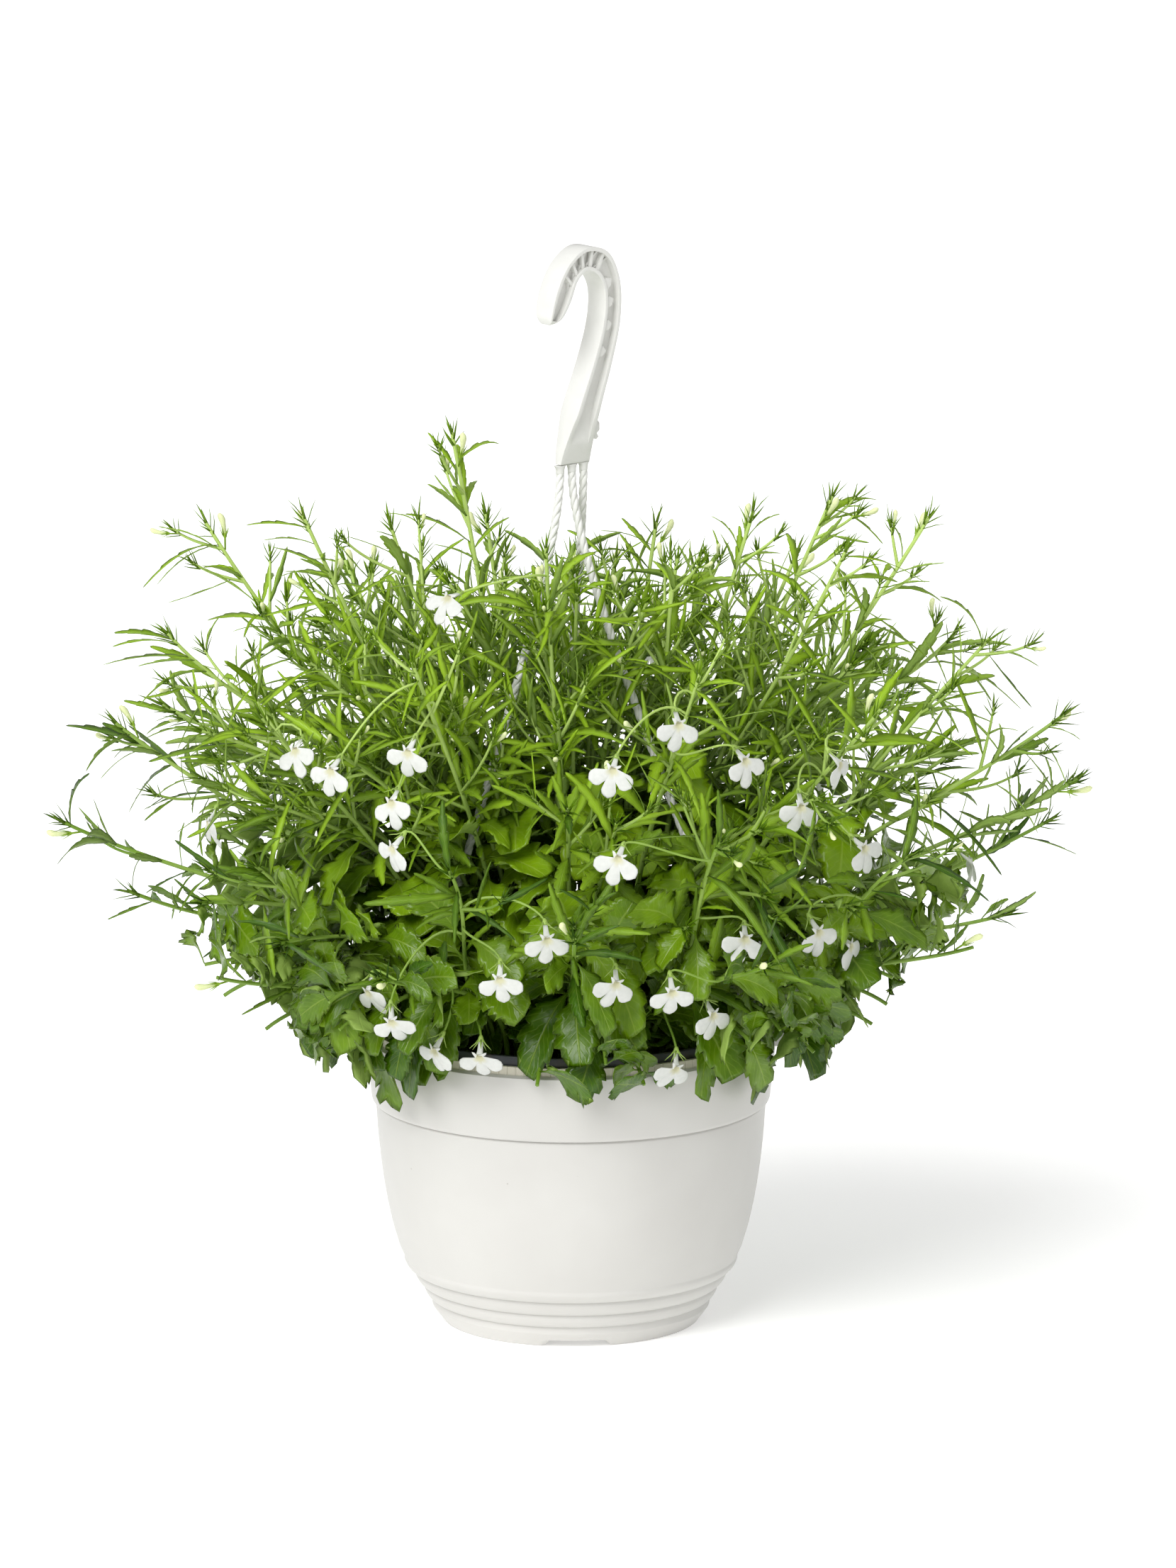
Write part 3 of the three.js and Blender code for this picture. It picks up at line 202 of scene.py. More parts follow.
ribs = [point for low, high in zip(RIBS, RIBS[1:]) for point in swelling(low, high, RIB_BULGE)]
pot_profile = [*BASE, *ribs, RIBS[-1], *eased(WALL), *BAND_EDGE, *eased(BAND, 2), *LIP, *POT_INSIDE]
pot_corners, pot_faces = turned(pot_profile, POT_SIDES)
pot_shapes = [(notched(pot_corners), pot_faces)]
for hand in (-1, 1):
    near, far = sorted((hand * LUG["root"], hand * LUG["reach"]))
    pot_shapes.append(block((near, -LUG["width"] / 2, LUG["bottom"]), (far, LUG["width"] / 2, LUG["top"])))
pot_corners, pot_faces = together(pot_shapes)
pot = new_object("outer_pot", place(pot_corners), pot_faces)
sharp_shaded(plain(rounded(pot, POT_EDGE)))


def linear(colour):
    """A hex colour as Blender's linear red, green, blue and alpha."""
    parts = [int(colour[i:i + 2], 16) / 255 for i in (1, 3, 5)]
    return [part / 12.92 if part <= 0.04045 else ((part + 0.055) / 1.055) ** 2.4 for part in parts] + [1]


def node(tree, kind, inputs=None, **settings):
    """Adds a node. `inputs` gives a socket, by name or number, its value, or the node or output it reads."""
    made = tree.nodes.new(kind)
    for name, value in settings.items():
        setattr(made, name, value)
    for key, value in (inputs or {}).items():
        if isinstance(value, bpy.types.Node):
            value = next(output for output in value.outputs if output.enabled)
        if isinstance(value, bpy.types.NodeSocket):
            tree.links.new(value, made.inputs[key])
        else:
            made.inputs[key].default_value = value
    return made


def new_material(name):
    """An empty material with its tree, and the place on the piece that its patterns read."""
    made = bpy.data.materials.new(name)
    made.use_nodes = True
    tree = made.node_tree
    tree.nodes.clear()
    return made, tree, node(tree, "ShaderNodeTexCoord").outputs["Object"]


def surfaced(tree, sockets, glow=0):
    """Ends a material with one Principled surface; `glow` is the share of light that comes through it."""
    shader = node(tree, "ShaderNodeBsdfPrincipled", sockets)
    if glow:
        through = node(tree, "ShaderNodeBsdfTranslucent", {"Color": sockets["Base Color"]})
        shader = node(tree, "ShaderNodeMixShader", {0: glow, 1: shader, 2: through})
    node(tree, "ShaderNodeOutputMaterial", {"Surface": shader})


# Injection-moulded polypropylene: a satin, very slightly milky white with a fine spark-eroded texture, the
# odd dark speck in the resin, a lip that has yellowed, and fine upright score lines round it.
pot_white, tree, spots = new_material("moulded polypropylene")
centred = node(tree, "ShaderNodeMapping", {0: spots, "Location": tuple(-FOOT)})
cloud = node(tree, "ShaderNodeTexNoise", {"Vector": centred, "Scale": 1 / 0.045, "Detail": 3})
white = node(tree, "ShaderNodeMix", {0: cloud, 6: linear("#c3c1bd"), 7: linear("#cecdc9")}, data_type="RGBA")
speck = node(tree, "ShaderNodeTexVoronoi", {"Vector": centred, "Scale": 1 / 0.016}).outputs["Distance"]
speck_mask = node(tree, "ShaderNodeMapRange", {
    0: speck, "From Min": 0.018, "From Max": 0.034, "To Min": 0.45, "To Max": 0})
specked = node(tree, "ShaderNodeMix", {0: speck_mask, 6: white, 7: linear("#8f8a80")}, data_type="RGBA")
across, ahead, height = node(tree, "ShaderNodeSeparateXYZ", {0: centred}).outputs
on_lip = node(tree, "ShaderNodeMapRange", {0: height, "From Min": 0.1436, "From Max": 0.1442})
lip_tint = node(tree, "ShaderNodeMix", {0: on_lip, 6: specked, 7: linear("#cac5b5")}, data_type="RGBA")
turn = node(tree, "ShaderNodeMath", {0: ahead, 1: across}, operation="ARCTAN2")
score_count = round(2 * math.pi * LIP[0][0] / SCORE_SPACING)
lines = node(tree, "ShaderNodeMath", {0: turn, 1: score_count / (2 * math.pi)}, operation="MULTIPLY")
line = node(tree, "ShaderNodeMath", {0: lines, 1: 0.5}, operation="PINGPONG")
groove = node(tree, "ShaderNodeMapRange", {0: line, "From Max": 0.07, "To Min": -1, "To Max": 0})
grooves = node(tree, "ShaderNodeMath", {0: groove, 1: on_lip}, operation="MULTIPLY")
grain = node(tree, "ShaderNodeTexNoise", {"Vector": centred, "Scale": 1 / 0.0008, "Detail": 2})
grain_bump = node(tree, "ShaderNodeBump", {"Height": grain, "Strength": 0.06, "Distance": 0.0001})
score_bump = node(tree, "ShaderNodeBump", {
    "Height": grooves, "Strength": 0.7, "Distance": 0.0004, "Normal": grain_bump})
surfaced(tree, {"Base Color": lip_tint, "Roughness": 0.36, "IOR": 1.49, "Normal": score_bump})
pot.data.materials.append(pot_white)
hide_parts("pot")
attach(pot, "root")

# ---------------------------------------------------------------- inner pot
# The inner pot is thermoformed from dark blue-grey polystyrene sheet. It drops into the outer pot, and only
# its rolled rim and the top of its inside show.

LINER_INSIDE = [(93, 152.5), (93, 141), (88, 112), (79, 50), (58, 9.3)]
LINER_OUTSIDE = [(60, 7.3), (81, 50), (90, 112), (95.1, 141), (95.1, 152.5)]
LINER_BOTTOM = {"under": 7.3, "inside": 9.3}
LINER_SIDES = 128
LINER_EDGE = 0.7

liner_profile = [(0, LINER_BOTTOM["under"]), *eased(LINER_OUTSIDE[:4], 2), LINER_OUTSIDE[4], LINER_INSIDE[0],
                 *eased(LINER_INSIDE[1:], 2), (0, LINER_BOTTOM["inside"])]
liner_corners, liner_faces = turned(liner_profile, LINER_SIDES)
liner = new_object("inner_pot", place(liner_corners), liner_faces)
sharp_shaded(plain(rounded(liner, LINER_EDGE, 3)))

# Thermoformed polystyrene: low, broad gloss over a faint orange peel, dusty with peat below the rim.
liner_dark, tree, spots = new_material("thermoformed polystyrene")
dust = node(tree, "ShaderNodeTexNoise", {"Vector": spots, "Scale": 1 / 0.006, "Detail": 5})
dust_mask = node(tree, "ShaderNodeMapRange", {0: dust, "From Min": 0.5, "From Max": 0.72})
tint = node(tree, "ShaderNodeMix", {0: dust_mask, 6: linear("#262b31"), 7: linear("#3b352d")},
            data_type="RGBA")
peel = node(tree, "ShaderNodeTexNoise", {"Vector": spots, "Scale": 1 / 0.0015, "Detail": 2})
bump = node(tree, "ShaderNodeBump", {"Height": peel, "Strength": 0.12, "Distance": 0.0002})
surfaced(tree, {"Base Color": tint, "Roughness": 0.42, "IOR": 1.57, "Normal": bump})
liner.data.materials.append(liner_dark)
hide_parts("liner")
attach(liner, "root")

# ---------------------------------------------------------------- compost
# Dark peat compost fills the inner pot to just under its rim. Its top is a crust of loose crumbs and fibres.

SOIL_TOP = 138
SOIL_EDGE = 91.6
SOIL_GAP = 0.5
SOIL_SIDES = 120
SOIL_WAVES = {"high": 2, "across": 0.11, "ahead": 0.13, "start": 1}
# The crust's bumps, large and small: how high, how far apart, and the level of the noise that gives them.
SOIL_BUMPS = [(1.3, 9, 0), (0.7, 3.4, 5)]
CRUMB = {"size": 1.5, "rough": 0.3, "per_square_metre": 58000, "seed": 7}


def soil_height(x, y):
    """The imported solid's slow waves and a fine roughness on them."""
    waves = math.sin(x * SOIL_WAVES["across"] + SOIL_WAVES["start"]) * math.cos(y * SOIL_WAVES["ahead"])
    bumps = [high * noise.noise(Vector((x, y, level)) / apart) for high, apart, level in SOIL_BUMPS]
    return SOIL_TOP + SOIL_WAVES["high"] * waves + bumps[0] + bumps[1]


soil_wall = [(radius - SOIL_GAP, height) for radius, height in reversed(LINER_INSIDE[2:])]
soil_top = [(radius, SOIL_TOP) for radius in np.linspace(SOIL_EDGE, 2, 44)]
soil_profile = [(0, soil_wall[0][1] + SOIL_GAP), *soil_wall, *soil_top, (0, SOIL_TOP)]
soil_corners, soil_faces = turned(soil_profile, SOIL_SIDES)
soil_corners = [(x, y, soil_height(x, y) if z == SOIL_TOP else z) for x, y, z in soil_corners]
soil = new_object("compost", place(soil_corners), soil_faces)


def crumb_mesh():
    """A lump of peat to scatter: a roughened ball, one across."""
    form = bmesh.new()
    bmesh.ops.create_icosphere(form, subdivisions=1, radius=0.5)
    for corner in form.verts:
        corner.co *= 1 + CRUMB["rough"] * noise.noise(corner.co * 4)
    mesh = bpy.data.meshes.new("crumb")
    form.to_mesh(mesh)
    form.free()
    return bpy.data.objects.new("crumb", mesh)


def new_tree(name, inputs):
    """A Geometry Nodes tree that takes and gives a geometry. `inputs` names its other sockets and kinds."""
    made = bpy.data.node_groups.new(name, "GeometryNodeTree")
    made.interface.new_socket("Geometry", in_out="INPUT", socket_type="NodeSocketGeometry")
    for socket, kind in inputs.items():
        made.interface.new_socket(socket, in_out="INPUT", socket_type=f"NodeSocket{kind}")
    made.interface.new_socket("Geometry", in_out="OUTPUT", socket_type="NodeSocketGeometry")
    return made, node(made, "NodeGroupInput").outputs


def grown(made, tree, values):
    """Runs the tree on the object with its inputs set, and keeps the result as a plain mesh."""
    run = made.modifiers.new(tree.name, "NODES")
    run.node_group = tree
    for item in tree.interface.items_tree:
        if item.in_out == "INPUT" and item.name in values:
            run[item.identifier] = values[item.name]
    return plain(made)


def coated(tree, shape, material):
    """The tree, ended: what comes out of it is its shape with the material on."""
    skin = node(tree, "GeometryNodeSetMaterial", {0: shape, "Material": material})
    node(tree, "NodeGroupOutput", {0: skin})
    return tree


tree, given = new_tree("scattered crumbs", {"Crumb": "Object", "Size": "Float", "Density": "Float",
                                            "Seed": "Int", "Material": "Material"})
facing = node(tree, "GeometryNodeInputNormal")
height = node(tree, "ShaderNodeSeparateXYZ", {0: facing}).outputs[2]
upwards = node(tree, "FunctionNodeCompare", {0: height, 1: 0.6}, operation="GREATER_THAN")
scattered = node(tree, "GeometryNodeDistributePointsOnFaces", {
    "Mesh": given["Geometry"], "Selection": upwards, "Density": given["Density"], "Seed": given["Seed"]})
sizes = node(tree, "FunctionNodeRandomValue", {2: 0.35, 3: 1.5, "Seed": given["Seed"]})
scale = node(tree, "ShaderNodeMath", {0: sizes, 1: given["Size"]}, operation="MULTIPLY")
turns = node(tree, "FunctionNodeRandomValue", {
    0: (0, 0, 0), 1: (6.28, 6.28, 6.28), "Seed": given["Seed"]}, data_type="FLOAT_VECTOR")
lump = node(tree, "GeometryNodeObjectInfo", {"Object": given["Crumb"]}).outputs["Geometry"]
crumbs = node(tree, "GeometryNodeInstanceOnPoints", {
    "Points": scattered, "Instance": lump, "Rotation": turns, "Scale": scale})
real = node(tree, "GeometryNodeRealizeInstances", {0: crumbs})
joined = node(tree, "GeometryNodeJoinGeometry", {0: given["Geometry"]})
tree.links.new(real.outputs[0], joined.inputs[0])
crumb_tree = coated(tree, joined, given["Material"])

# Peat: almost matt, near black where damp, with paler fibres and crumbs.
peat, tree, spots = new_material("peat compost")
crumbly = node(tree, "ShaderNodeTexNoise", {"Vector": spots, "Scale": 1 / 0.0025, "Detail": 6})
tones = node(tree, "ShaderNodeValToRGB", {0: crumbly})
for stop, share, colour in zip(tones.color_ramp.elements, (0.38, 0.68), ("#1d1510", "#5b432f")):
    stop.position = share
    stop.color = linear(colour)
bump = node(tree, "ShaderNodeBump", {"Height": crumbly, "Strength": 0.7, "Distance": 0.0012})
surfaced(tree, {"Base Color": tones, "Roughness": 0.92, "IOR": 1.45, "Normal": bump})
grown(soil, crumb_tree, {
    "Crumb": crumb_mesh(), "Size": CRUMB["size"] * MM, "Density": CRUMB["per_square_metre"],
    "Seed": CRUMB["seed"], "Material": peat})
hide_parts("soil")
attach(soil, "root")

# ---------------------------------------------------------------- hook
# The hanger's hook is a stiff white moulding of I section: two flanges on a thin web, cross ribs round the
# arch, blocks down the shank, and a plate at the foot that the three legs grow out of, with a small stud.

# The hook's own frame: x from the tip's side to the shank's side, z up from the bearing point.
HOOK_AT = np.array((4.2, 2, 523.2))
HOOK_TURN = math.radians(42)
HOOK_OUTSIDE = [(-22.6, -24.7), (-23.2, -19), (-19.6, -7), (-12, 4.6), (0, 11.3), (13.6, 7.4), (21, -7.5),
                (21, -27), (15.4, -48), (8, -70), (5.6, -88), (4.6, -98.3)]
HOOK_INSIDE = [(-20.6, -24.7), (-15.8, -21.6), (-11, -13.6), (-6.6, -4.2), (0, 0), (7.2, -3.7), (11.3, -13),
               (10, -28), (3.6, -46.6), (-6, -68.6), (-12.4, -87), (-14.6, -98.3)]
HOOK_STEPS = 10
HOOK_FLANGE = 0.17
HOOK_WIDTHS = [(14, 6.5), (-70, 6.5), (-80, 4.4), (-88, 3.1), (-95, 2), (-99, 2)]
HOOK_WEB = 2.6
HOOK_EDGE = 0.4
# More than any half width, so that the section there has no channel.
SOLID = 99
# Where the channel starts and where its web begins to thicken into the plate, with how much it does.
CHANNEL = {"from": 0.05, "step": 0.003, "ramp": 0.8, "to": 0.9, "thicker": 1.4}
RIB = {"at": (0.24, 0.29, 0.34, 0.39, 0.44), "half": 0.8, "inset": 0.9, "lean": 0.03, "brace": 0.7,
       "brace_inset": 2.3}
BLOCK = {"at": (0.52, 0.58, 0.64, 0.7), "half": 2.6, "inset": 0.8, "top": 0.42, "foot": 0.9, "gable": 0.42}
TIP = {"run": 0.2, "narrow": 0.42, "thin": 0.62}
STUD = {"run": 0.88, "root": 1.5, "half": 2}
# The stud's outline: out from its root, and up.
STUD_OUTLINE = [(0, -83.5), (4.8, -85), (6.2, -83.8), (5.2, -82), (6.9, -80.6), (6.9, -77), (5.1, -75),
                (0, -77)]
LEG_ROOTS = [-12.6, -5, 2.6]
CROTCH = 3.3
# What each leg's root measures on its way up into the plate: how high, how wide and how thick.
LEG_ROOT = [(2.9, 3.9, 1.9), (1.98, 2.9, 1.9), (0.825, 2.3, 2), (0, 2.1, 2.1), (-1.2, 2.1, 2.1)]

hook_outer = np.array(eased(HOOK_OUTSIDE, HOOK_STEPS))
hook_inner = np.array(eased(HOOK_INSIDE, HOOK_STEPS))


def hook_point(run, depth):
    """A point of the hook: `run` goes from the tip to the plate, `depth` from the outer to the inner edge."""
    at = run * (len(hook_outer) - 1)
    i = min(int(at), len(hook_outer) - 2)
    outer = hook_outer[i] + (hook_outer[i + 1] - hook_outer[i]) * (at - i)
    inner = hook_inner[i] + (hook_inner[i + 1] - hook_inner[i]) * (at - i)
    return outer + (inner - outer) * depth


def hook_half(height):
    """Half the hook's width at a height."""
    heights = [z for z, _ in reversed(HOOK_WIDTHS)]
    return float(np.interp(height, heights, [half for _, half in reversed(HOOK_WIDTHS)]))


def tip_share(run, least):
    """How much of the hook's width or depth is left near its rounded tip."""
    return math.sqrt(max(0, 1 - (1 - min(run / TIP["run"], 1)) ** 2)) * (1 - least) + least


def i_section(run, web):
    """Twelve corners of the hook's section; `web` is half the thickness between its flanges."""
    corners = []
    narrow, thin = tip_share(run, TIP["narrow"]), tip_share(run, TIP["thin"])
    outer, inner = HOOK_FLANGE, 1 - HOOK_FLANGE
    edges = [(0, -1), (outer, -1), (outer, 0), (inner, 0), (inner, -1), (1, -1)]
    for depth, side in [*edges, *[(depth, -side) for depth, side in reversed(edges)]]:
        x, z = hook_point(run, 0.5 + (depth - 0.5) * thin)
        wide = hook_half(z) * narrow
        thick = min(web, wide) * (-1 if len(corners) < len(edges) else 1)
        corners.append((x, wide * side if side else thick, z))
    return corners


def carried(rings):
    """Corners and faces of a closed body through rings of equal count."""
    count = len(rings[0])
    corners = [point for ring in rings for point in ring]
    faces = [[i * count + k, i * count + (k + 1) % count, (i + 1) * count + (k + 1) % count,
              (i + 1) * count + k] for i in range(len(rings) - 1) for k in range(count)]
    return corners, [list(range(count))[::-1], *faces, [len(corners) - count + k for k in range(count)]]


def across_hook(outline, half_from, half_to):
    """A flat piece across the hook: an outline of (x, z) points between two places across it."""
    return carried([[(x, half_from, z) for x, z in outline], [(x, half_to, z) for x, z in outline]])


def bar_ends(run, half, outer, inner):
    """The ends of a bar square to the hook's run, and the way along the run by half its thickness."""
    a, b = hook_point(run, outer), hook_point(run, inner)
    along = np.array((b[1] - a[1], a[0] - b[0]))
    return a, b, along * half / np.hypot(*along)


def rib_outline(run, half):
    a, b, along = bar_ends(run, half, 0.1, 0.9)
    return [a - along, a + along, b + along, b - along]


def house_outline(run, half):
    """A block with a pointed top, like a gable, that stands on the inner flange."""
    a, b, along = bar_ends(run, half, BLOCK["top"], BLOCK["foot"])
    shoulder = a + (b - a) * BLOCK["gable"]
    return [a, shoulder + along, b + along, b - along, shoulder - along]


def to_frame(points):
    """The hook's own points, turned and set in the frame."""
    turn = Matrix.Rotation(HOOK_TURN, 3, "Z")
    return [turn @ Vector(point) * MM for point in points]


def outwards(made, merge=0):
    """Turns the faces outwards, once corners that lie closer than `merge` metres are one."""
    shape = bmesh.new()
    shape.from_mesh(made.data)
    if merge:
        bmesh.ops.remove_doubles(shape, verts=shape.verts, dist=merge)
    bmesh.ops.recalc_face_normals(shape, faces=shape.faces)
    shape.to_mesh(made.data)
    shape.free()
    return made


# The hook's sections from its tip to the end of the plate, each with half the thickness of its web.
before_channel = np.arange(0, CHANNEL["from"], 1 / ((len(HOOK_OUTSIDE) - 1) * 5))
in_channel = np.linspace(CHANNEL["from"] + CHANNEL["step"], CHANNEL["ramp"], 52)
ramp = CHANNEL["to"] - CHANNEL["ramp"]
plate_end = 1 - CROTCH / (HOOK_OUTSIDE[-2][1] - HOOK_OUTSIDE[-1][1]) / (len(HOOK_OUTSIDE) - 1)
runs = [(run, SOLID) for run in (*before_channel, CHANNEL["from"])]
runs += [(run, HOOK_WEB) for run in in_channel]
runs += [(CHANNEL["ramp"] + ramp * share, HOOK_WEB + CHANNEL["thicker"] * share * share)
         for share in (0.25, 0.5, 0.75)]
runs += [(run, SOLID) for run in np.linspace(CHANNEL["to"], plate_end, 9)]
hook_shapes = [carried([i_section(run, web) for run, web in runs])]
for hand in (-1, 1):
    for run in RIB["at"]:
        wide = hook_half(hook_point(run, 0.5)[1])
        after = rib_outline(run + RIB["lean"], RIB["half"] * RIB["brace"])
        before = rib_outline(run - RIB["lean"], RIB["half"] * RIB["brace"])
        for outline, inset in ((rib_outline(run, RIB["half"]), RIB["inset"]),
                               ([*after[:2], *before[2:]], RIB["brace_inset"])):
            hook_shapes.append(across_hook(outline, *sorted((0, hand * (wide - inset)))))
    for run in BLOCK["at"]:
        wide = hook_half(hook_point(run, 0.5)[1]) - BLOCK["inset"]
        hook_shapes.append(across_hook(house_outline(run, BLOCK["half"]), *sorted((0, hand * wide))))
stud_root = hook_point(STUD["run"], 0)[0] - STUD["root"]
stud = [(stud_root + out, up) for out, up in STUD_OUTLINE]
hook_shapes.append(across_hook(stud, -STUD["half"], STUD["half"]))
for root in LEG_ROOTS:
    stub = []
    for drop, wide, thick in LEG_ROOT:
        stub.append([(root + wide * math.cos(k * math.pi / 8), thick * math.sin(k * math.pi / 8),
                      HOOK_OUTSIDE[-1][1] + drop) for k in range(16)][::-1])
    hook_shapes.append(carried(stub))
hook_corners, hook_faces = together(hook_shapes)
hook = outwards(new_object("hook_moulding", to_frame(hook_corners), hook_faces), 1e-6)
sharp_shaded(plain(rounded(hook, HOOK_EDGE)))


def glossy_white(name, dull, bright):
    """Smooth white plastic whose colour and gloss vary along its flow lines."""
    made, tree, spots = new_material(name)
    flow = node(tree, "ShaderNodeTexNoise", {
        "Vector": spots, "Scale": 1 / 0.012, "Detail": 4, "Distortion": 1.5})
    white = node(tree, "ShaderNodeMix", {0: flow, 6: linear(dull), 7: linear(bright)}, data_type="RGBA")
    gloss = node(tree, "ShaderNodeMapRange", {0: flow, "To Min": 0.24, "To Max": 0.42})
    skin = node(tree, "ShaderNodeTexNoise", {"Vector": spots, "Scale": 1 / 0.0009, "Detail": 2})
    bump = node(tree, "ShaderNodeBump", {"Height": skin, "Strength": 0.08, "Distance": 0.0001})
    surfaced(tree, {"Base Color": white, "Roughness": gloss, "IOR": 1.49, "Normal": bump})
    return made


# The same polypropylene as the pot in a cleaner, glossier moulding, with faint flow lines along its length.
hanger_white = glossy_white("glossy moulded polypropylene", "#d5d5d0", "#dfdfdb")
hook.data.materials.append(hanger_white)
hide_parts("hook")
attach(hook, "root")

# ---------------------------------------------------------------- hanger legs
# Three stiff legs are moulded with the hook in the shape of laid rope, three strands twisted together. Each
# ends in a clip, an upturned U that snaps over the rims of both pots.

LEG_RADIUS = 2.1
LEG_POINTS = 60
ROPE = {"strands": 3, "groove": 0.68, "pitch": 17, "step": 0.9}
LEGS = [("left", -12.6, -52), ("right", -5, 68), ("back", 2.6, 188)]
CLIP = [(89.7, 143), (91.7, 143), (91.7, 152.8), (98.5, 152.8), (98.5, 144.6), (100.7, 144.6), (100.7, 155),
        (99.6, 156.2), (90.8, 156.2), (89.7, 155)]
CLIP_WIDTH = 8
CLIP_EDGE = 0.4
# Where a leg runs into its clip, and how it comes there: straight down at first, then over.
CLIP_CENTRE = 95
CLIP_JOIN = 155.2
LEG_DROP = 50
LEG_BEND = 0.6
GAP = 0.3


def curve_point(curve, t):
    """A point of a curve with four guide points."""
    s = 1 - t
    return s ** 3 * curve[0] + 3 * s * s * t * curve[1] + 3 * s * t * t * curve[2] + t ** 3 * curve[3]


def leg_curve(root, azimuth):
    start = HOOK_AT + (root * math.cos(HOOK_TURN), root * math.sin(HOOK_TURN), HOOK_OUTSIDE[-1][1] - GAP)
    angle = math.radians(azimuth)
    end = np.array((CLIP_CENTRE * math.sin(angle), -CLIP_CENTRE * math.cos(angle), CLIP_JOIN))
    return np.array((start, start - (0, 0, LEG_DROP), start + (end - start) * LEG_BEND, end))


# A lobed profile is carried along the leg's line and turned as it goes.
tree, given = new_tree("laid rope", {"Radius": "Float", "Strands": "Int", "Groove": "Float", "Pitch": "Float",
                                     "Step": "Float", "Material": "Material"})
path = node(tree, "GeometryNodeMeshToCurve", {0: given["Geometry"]})
fine = node(tree, "GeometryNodeResampleCurve", {"Curve": path, "Length": given["Step"]}, mode="LENGTH")
reach = node(tree, "GeometryNodeSplineParameter").outputs["Length"]
lay = node(tree, "ShaderNodeMath", {0: reach, 1: given["Pitch"]}, operation="DIVIDE")
turns = node(tree, "ShaderNodeMath", {0: lay, 1: 2 * math.pi}, operation="MULTIPLY")
tilted = node(tree, "GeometryNodeSetCurveTilt", {"Curve": fine, "Tilt": turns})
circle = node(tree, "GeometryNodeCurvePrimitiveCircle", {"Resolution": 18, "Radius": given["Radius"]})
round_it = node(tree, "GeometryNodeSplineParameter").outputs["Factor"]
lobes = node(tree, "ShaderNodeMath", {0: round_it, 1: given["Strands"]}, operation="MULTIPLY")
lobe = node(tree, "ShaderNodeMath", {0: lobes, 1: 0.5}, operation="PINGPONG")
swell = node(tree, "ShaderNodeMapRange", {
    0: lobe, "From Max": 0.26, "To Min": given["Groove"], "To Max": 1}, interpolation_type="SMOOTHSTEP")
spot = node(tree, "GeometryNodeInputPosition")
swollen = node(tree, "ShaderNodeVectorMath", {0: spot, "Scale": swell}, operation="SCALE")
section = node(tree, "GeometryNodeSetPosition", {0: circle, "Position": swollen})
body = node(tree, "GeometryNodeCurveToMesh", {
    "Curve": tilted, "Profile Curve": section, "Fill Caps": True})
rope_tree = coated(tree, body, given["Material"])

# The legs are thin mouldings of the same plastic. They are painted whiter than the hook as painted light, so
# that they stay bright where the foliage shades them.
leg_white_painted_lighter = glossy_white("laid polypropylene", "#e4e4df", "#eeeeeb")

for side, root, azimuth in LEGS:
    curve = leg_curve(root, azimuth)
    line = [curve_point(curve, i / LEG_POINTS) for i in range(LEG_POINTS + 1)]
    leg = new_object(f"rope_{side}", place(line), edges=[(i, i + 1) for i in range(LEG_POINTS)])
    grown(leg, rope_tree, {"Radius": LEG_RADIUS * MM, "Strands": ROPE["strands"], "Groove": ROPE["groove"],
                           "Pitch": ROPE["pitch"] * MM, "Step": ROPE["step"] * MM, "Material": leg_white_painted_lighter})
    clip_corners, clip_faces = across_hook(CLIP, -CLIP_WIDTH / 2, CLIP_WIDTH / 2)
    turn = Matrix.Rotation(math.radians(azimuth - 90), 3, "Z")
    clip = new_object(f"clip_{side}", place([turn @ Vector(point) for point in clip_corners]), clip_faces)
    outwards(clip).data.materials.append(leg_white_painted_lighter)
    sharp_shaded(plain(rounded(clip, CLIP_EDGE)))
    shape = bmesh.new()
    shape.from_mesh(leg.data)
    shape.from_mesh(clip.data)
    shape.to_mesh(leg.data)
    shape.free()
    bpy.data.objects.remove(clip)
    leg.data.shade_smooth()
    sharp_shaded(leg, 45)
    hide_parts(f"strand_{side}")
    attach(leg, "root")

# ---------------------------------------------------------------- leafy shoots
# The plant's shoots stand in the compost and arch out over the rim: sappy light green stems, two to three
# millimetres thick, that thin towards their tips. Most fork once, and all bear finer twigs higher up.

# Each stem has the tip of its main shoot and, on most, that of a side shoot.
STEMS = [
    [(-250, -10, 252), (-216, -42, 224)],
    [(-223, 20, 294), (-188, 72, 300)],
    [(249, 0, 271), (236, 32, 243)],
    [(240, -30, 309), (204, -12, 343)],
    [(-178, 10, 396), (-196, -24, 348)],
    [(-130, -30, 408)],
    [(175, 15, 398), (190, 76, 328)],
    [(-172, -66, 186), (-152, -104, 250)],
    [(196, -48, 197), (165, -112, 258)],
    [(-92, -150, 206), (-58, -168, 262)],
    [(2, -182, 232)],
    [(96, -158, 214), (72, -166, 276)],
    [(-150, -92, 322)],
    [(150, -95, 326)],
    [(-76, -112, 352)],
    [(62, -122, 348)],
    [(-58, 20, 439), (-88, -26, 404)],
    [(-12, -52, 396)],
    [(89, 0, 404), (52, -34, 388)],
    [(128, 32, 405), (134, -42, 394)],
    [(42, 62, 386), (94, 60, 324)],
    [(-42, 82, 386), (-98, 54, 322)],
    [(-112, 116, 356), (-152, 112, 288)],
    [(0, 146, 352)],
    [(112, 116, 360), (152, 114, 300)],
    [(-118, 160, 214), (-168, 84, 186)],
    [(0, 190, 236), (46, 180, 272)],
    [(122, 156, 220), (172, 88, 188)],
]
SHOOT = {"foot": 1.7, "tip": 1.05, "side": 1.2, "fork": 0.42, "steps": 6, "side_steps": 5}
SIDES = 3
ROOT = {"across": 0.26, "along": 0.6}
